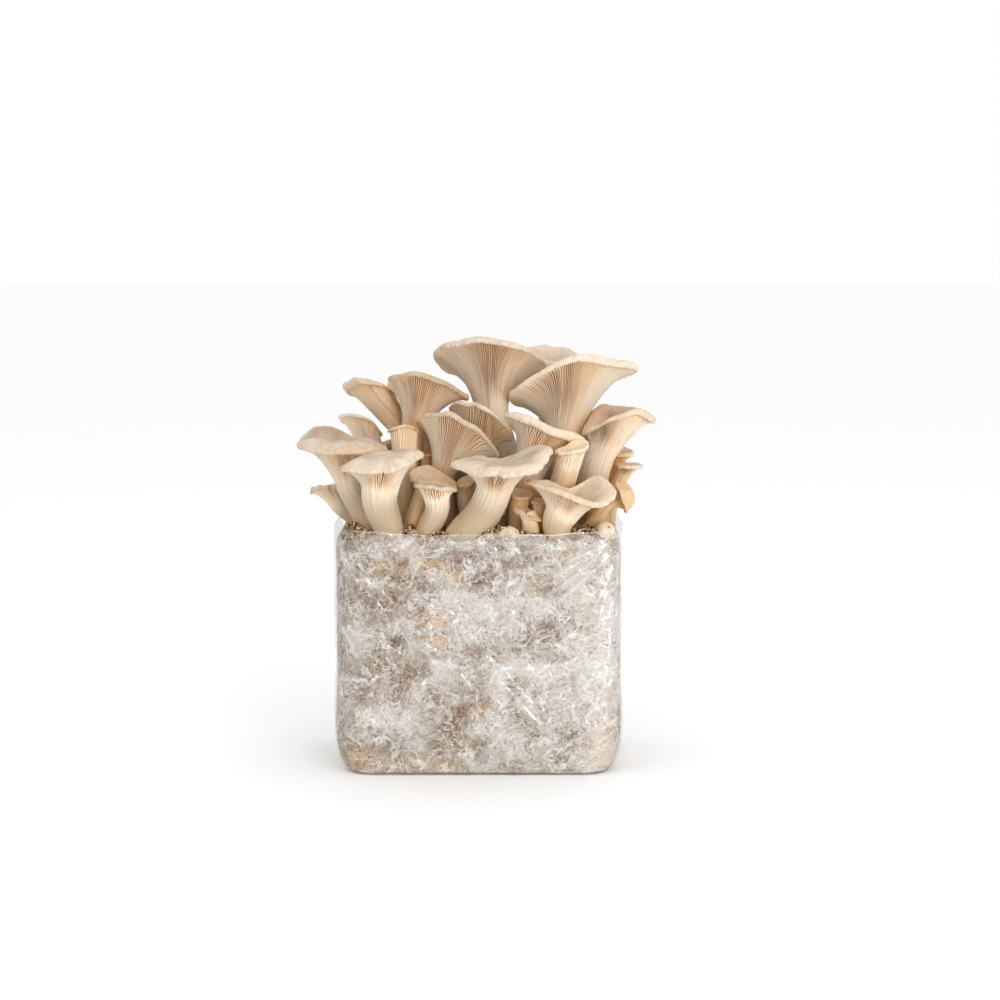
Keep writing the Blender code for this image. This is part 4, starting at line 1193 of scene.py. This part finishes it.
class BlockSettings(bpy.types.PropertyGroup):
    """Sizes and colours of the block and its crumbs."""

    cell: FloatProperty(name="Cell", description="Size of the block's faces, in mm", default=1.7)
    crumbs: IntProperty(name="Crumbs", description="How many crumbs lie on the block", default=1300)
    mycelium_color: paint("Mycelium", "Mycelium", seen(178, 170, 159))
    mycelium_shade: paint("Thin mycelium", "Thin mycelium", seen(134, 115, 91))
    thread_color: paint("Threads", "Threads", seen(226, 224, 220))
    sawdust_color: paint("Sawdust", "Sawdust", seen(138, 98, 58))
    sawdust_shade: paint("Wet sawdust", "Darker sawdust", seen(94, 60, 30))
    speck_color: paint("Specks", "Dark specks", seen(58, 36, 18))
    bark_color: paint("Bark", "Bark crumbs", seen(132, 92, 46))
    cream_color: paint("Pale crumbs", "Pale crumbs", seen(238, 220, 188))
    stain_color: paint("Stain", "Tawny stain", seen(204, 152, 72))


class FilmSettings(bpy.types.PropertyGroup):
    """The clear film."""

    cell: FloatProperty(name="Cell", description="Size of the film's faces, in mm", default=1.4)
    wrinkle: FloatProperty(name="Wrinkles", description="How far wrinkles stand out, as a factor", default=1.0)
    gloss: FloatProperty(name="Gloss", description="Share of light that faces mirror", default=0.035)
    sheen_color: paint("Sheen", "Colour of reflections", (1.0, 1.0, 1.0))
    # Colour of the painted shade in the doubled film's reflection
    gusset_shade_color: paint("Gusset", "Sheen of doubled film", (0.5, 0.51, 0.53))
    tint: paint("Tint", "Colour seen through", (0.985, 0.985, 0.985))


class StudioSettings(bpy.types.PropertyGroup):
    """Floor, lights and camera."""

    floor_color: paint("Floor", "Floor colour", (0.97, 0.97, 0.97))
    sky: FloatProperty(name="Surroundings", description="Brightness of the white surroundings", default=1.0)
    key: FloatProperty(name="Key light", description="Front light", default=6.0, unit="POWER")
    low: FloatProperty(name="Low light", description="Low light from the right", default=16.0, unit="POWER")
    fill: FloatProperty(name="Fill light", description="Left light", default=2.0, unit="POWER")
    top: FloatProperty(name="Top light", description="Light from above", default=1.5, unit="POWER")


class GrowKitSettings(bpy.types.PropertyGroup):
    """Everything that a user would change."""

    mushrooms: PointerProperty(type=MushroomSettings)
    block: PointerProperty(type=BlockSettings)
    film: PointerProperty(type=FilmSettings)
    studio: PointerProperty(type=StudioSettings)


# ---------------------------------------------------------------- operators

# Each light's width and place, in metres, and the point that they all face
LIGHTS = {
    "key": (0.7, (0.7, -1.9, 0.95)),
    "low": (1.1, (1.15, -1.5, 0.1)),
    "fill": (0.5, (-1.5, -1.4, 1.0)),
    "top": (0.6, (0.1, 0.3, 1.9)),
}
LIT_POINT = Vector((0, 0, 0.18))

# The camera looks down at its aim, from a distance in metres
CAMERA_AIM = Vector((15.4, 0, 190)) * MM
CAMERA_DISTANCE = 1.5
CAMERA_TILT = math.radians(7)
CAMERA_LENS = 74.05
FLOOR_WIDTH = 40


class GROWKIT_OT_stage(bpy.types.Operator):
    """Floor, soft lights, white surroundings and the camera"""

    bl_idname = "growkit.stage"
    bl_label = "Stage"

    def execute(self, context):
        settings = context.scene.grow_kit.studio
        deselect()
        bpy.ops.mesh.primitive_plane_add(size=FLOOR_WIDTH, location=(0, 0, 0))
        floor = context.object
        floor.name = "floor"
        finish = Finish("pale_floor", Base_Color=settings.floor_color, Roughness=0.6, Specular_IOR_Level=0.2)
        floor.data.materials.append(finish.material)

        for name, (width, place) in LIGHTS.items():
            bpy.ops.object.light_add(type="AREA", location=place)
            lamp = context.object
            lamp.name = name
            lamp.data.energy = getattr(settings, name)
            lamp.data.size = width
            lamp.rotation_euler = (LIT_POINT - Vector(place)).to_track_quat("-Z", "Y").to_euler()

        world = bpy.data.worlds.new("white surroundings")
        world.use_nodes = True
        background = world.node_tree.nodes["Background"]
        background.inputs["Color"].default_value = (1.0, 1.0, 1.0, 1.0)
        background.inputs["Strength"].default_value = settings.sky
        context.scene.world = world
        context.scene.view_settings.view_transform = "Standard"

        back = Vector((0, -math.cos(CAMERA_TILT), math.sin(CAMERA_TILT)))
        bpy.ops.object.camera_add(location=CAMERA_AIM + CAMERA_DISTANCE * back)
        camera = context.object
        camera.rotation_euler = (math.pi / 2 - CAMERA_TILT, 0, 0)
        camera.data.lens = CAMERA_LENS
        context.scene.camera = camera
        return {"FINISHED"}


class GROWKIT_OT_mushrooms(bpy.types.Operator):
    """Every mushroom, with its gills and cap"""

    bl_idname = "growkit.mushrooms"
    bl_label = "Mushrooms"

    def execute(self, context):
        settings = context.scene.grow_kit.mushrooms
        material = flesh_finish(settings)
        shapes = [HABIT | shape for shape in MUSHROOMS.values()]
        grown = [grow_mushroom(shape, settings, seed) for seed, shape in enumerate(shapes, 1)]
        # How crowded each point is, the mask of the painted shade between mushrooms
        crowds = painted_crowd_shade([points for points, _, _ in grown])
        for name, shape, (points, faces, attributes), crowd in zip(MUSHROOMS, shapes, grown, crowds):
            attributes |= {"crowd": crowd} | {key: np.full(len(points), shape[key]) for key in ("tan", "tone")}
            piece = mesh_object("grown_" + name, points, faces, material, attributes)
            place_piece(piece, "mushroom_flesh", "mushroom_" + name)
        return {"FINISHED"}


class GROWKIT_OT_block(bpy.types.Operator):
    """The block of sawdust and mycelium"""

    bl_idname = "growkit.block"
    bl_label = "Colonised block"

    def execute(self, context):
        settings = context.scene.grow_kit.block
        levels = [(max(height, FILM_GAP), FILM_GAP) for height in WALL_HEIGHTS]
        levels += [(TOP - 4, FILM_GAP), (TOP - 1, FILM_GAP + 1), (TOP, FILM_GAP + 3)]
        block = bag_form("colonised_block", levels, settings.cell)
        shape_block(block)
        block.data.materials.append(block_finish(settings))
        place_piece(block, "colonised_sawdust", "substrate_block")
        return {"FINISHED"}


class GROWKIT_OT_crumbs(bpy.types.Operator):
    """Loose crumbs of bark and mycelium between the stems"""

    bl_idname = "growkit.crumbs"
    bl_label = "Crumbs"

    def execute(self, context):
        settings = context.scene.grow_kit.block
        surface = points_of(bpy.data.objects["colonised_block"].data)
        surface = surface[surface[:, 2] > TOP - 2.5]
        points, faces, tones = strew_crumbs(settings.crumbs, surface)
        crumbs = mesh_object("crumbs", points, faces, crumb_finish(settings), {"tone": tones})
        place_piece(crumbs, "colonised_sawdust")
        return {"FINISHED"}


class GROWKIT_OT_film(bpy.types.Operator):
    """The clear film bag with its creases"""

    bl_idname = "growkit.film"
    bl_label = "Film bag"

    def execute(self, context):
        settings = context.scene.grow_kit.film
        levels = [(height, 0.0) for height in (*WALL_HEIGHTS, RIM_HEIGHT + 4)]
        film = bag_form("wrinkled_film", levels, settings.cell)
        deselect()
        film.select_set(True)
        bpy.ops.object.mode_set(mode="EDIT")
        bpy.ops.mesh.select_all(action="SELECT")
        bpy.ops.mesh.bisect(plane_co=(0, 0, RIM_HEIGHT * MM), plane_no=(0, 0, 1), clear_outer=True)
        bpy.ops.object.mode_set(mode="OBJECT")
        shape_film(film, settings.wrinkle)
        film.data.shade_smooth()
        film.data.materials.append(film_finish(settings))
        place_piece(film, "clear_film", "film_bag")
        return {"FINISHED"}


class GROWKIT_PT_panel(bpy.types.Panel):
    bl_label = "Grow kit"
    bl_idname = "GROWKIT_PT_panel"
    bl_space_type = "VIEW_3D"
    bl_region_type = "UI"
    bl_category = "Grow kit"

    def draw(self, context):
        settings = context.scene.grow_kit
        groups = (
            (settings.studio, ("growkit.stage",)),
            (settings.mushrooms, ("growkit.mushrooms",)),
            (settings.block, ("growkit.block", "growkit.crumbs")),
            (settings.film, ("growkit.film",)),
        )
        for group, steps in groups:
            box = self.layout.box()
            for key in group.__annotations__:
                box.prop(group, key)
            for step in steps:
                box.operator(step)


CLASSES = (
    MushroomSettings, BlockSettings, FilmSettings, StudioSettings, GrowKitSettings,
    GROWKIT_OT_stage, GROWKIT_OT_mushrooms, GROWKIT_OT_block, GROWKIT_OT_crumbs, GROWKIT_OT_film, GROWKIT_PT_panel,
)


def register():
    for cls in CLASSES:
        bpy.utils.register_class(cls)
    bpy.types.Scene.grow_kit = PointerProperty(type=GrowKitSettings)


def unregister():
    del bpy.types.Scene.grow_kit
    for cls in reversed(CLASSES):
        bpy.utils.unregister_class(cls)


def main():
    register()
    bpy.ops.growkit.stage()
    bpy.ops.growkit.mushrooms()
    bpy.ops.growkit.block()
    bpy.ops.growkit.crumbs()
    bpy.ops.growkit.film()


if __name__ == "__main__":
    main()
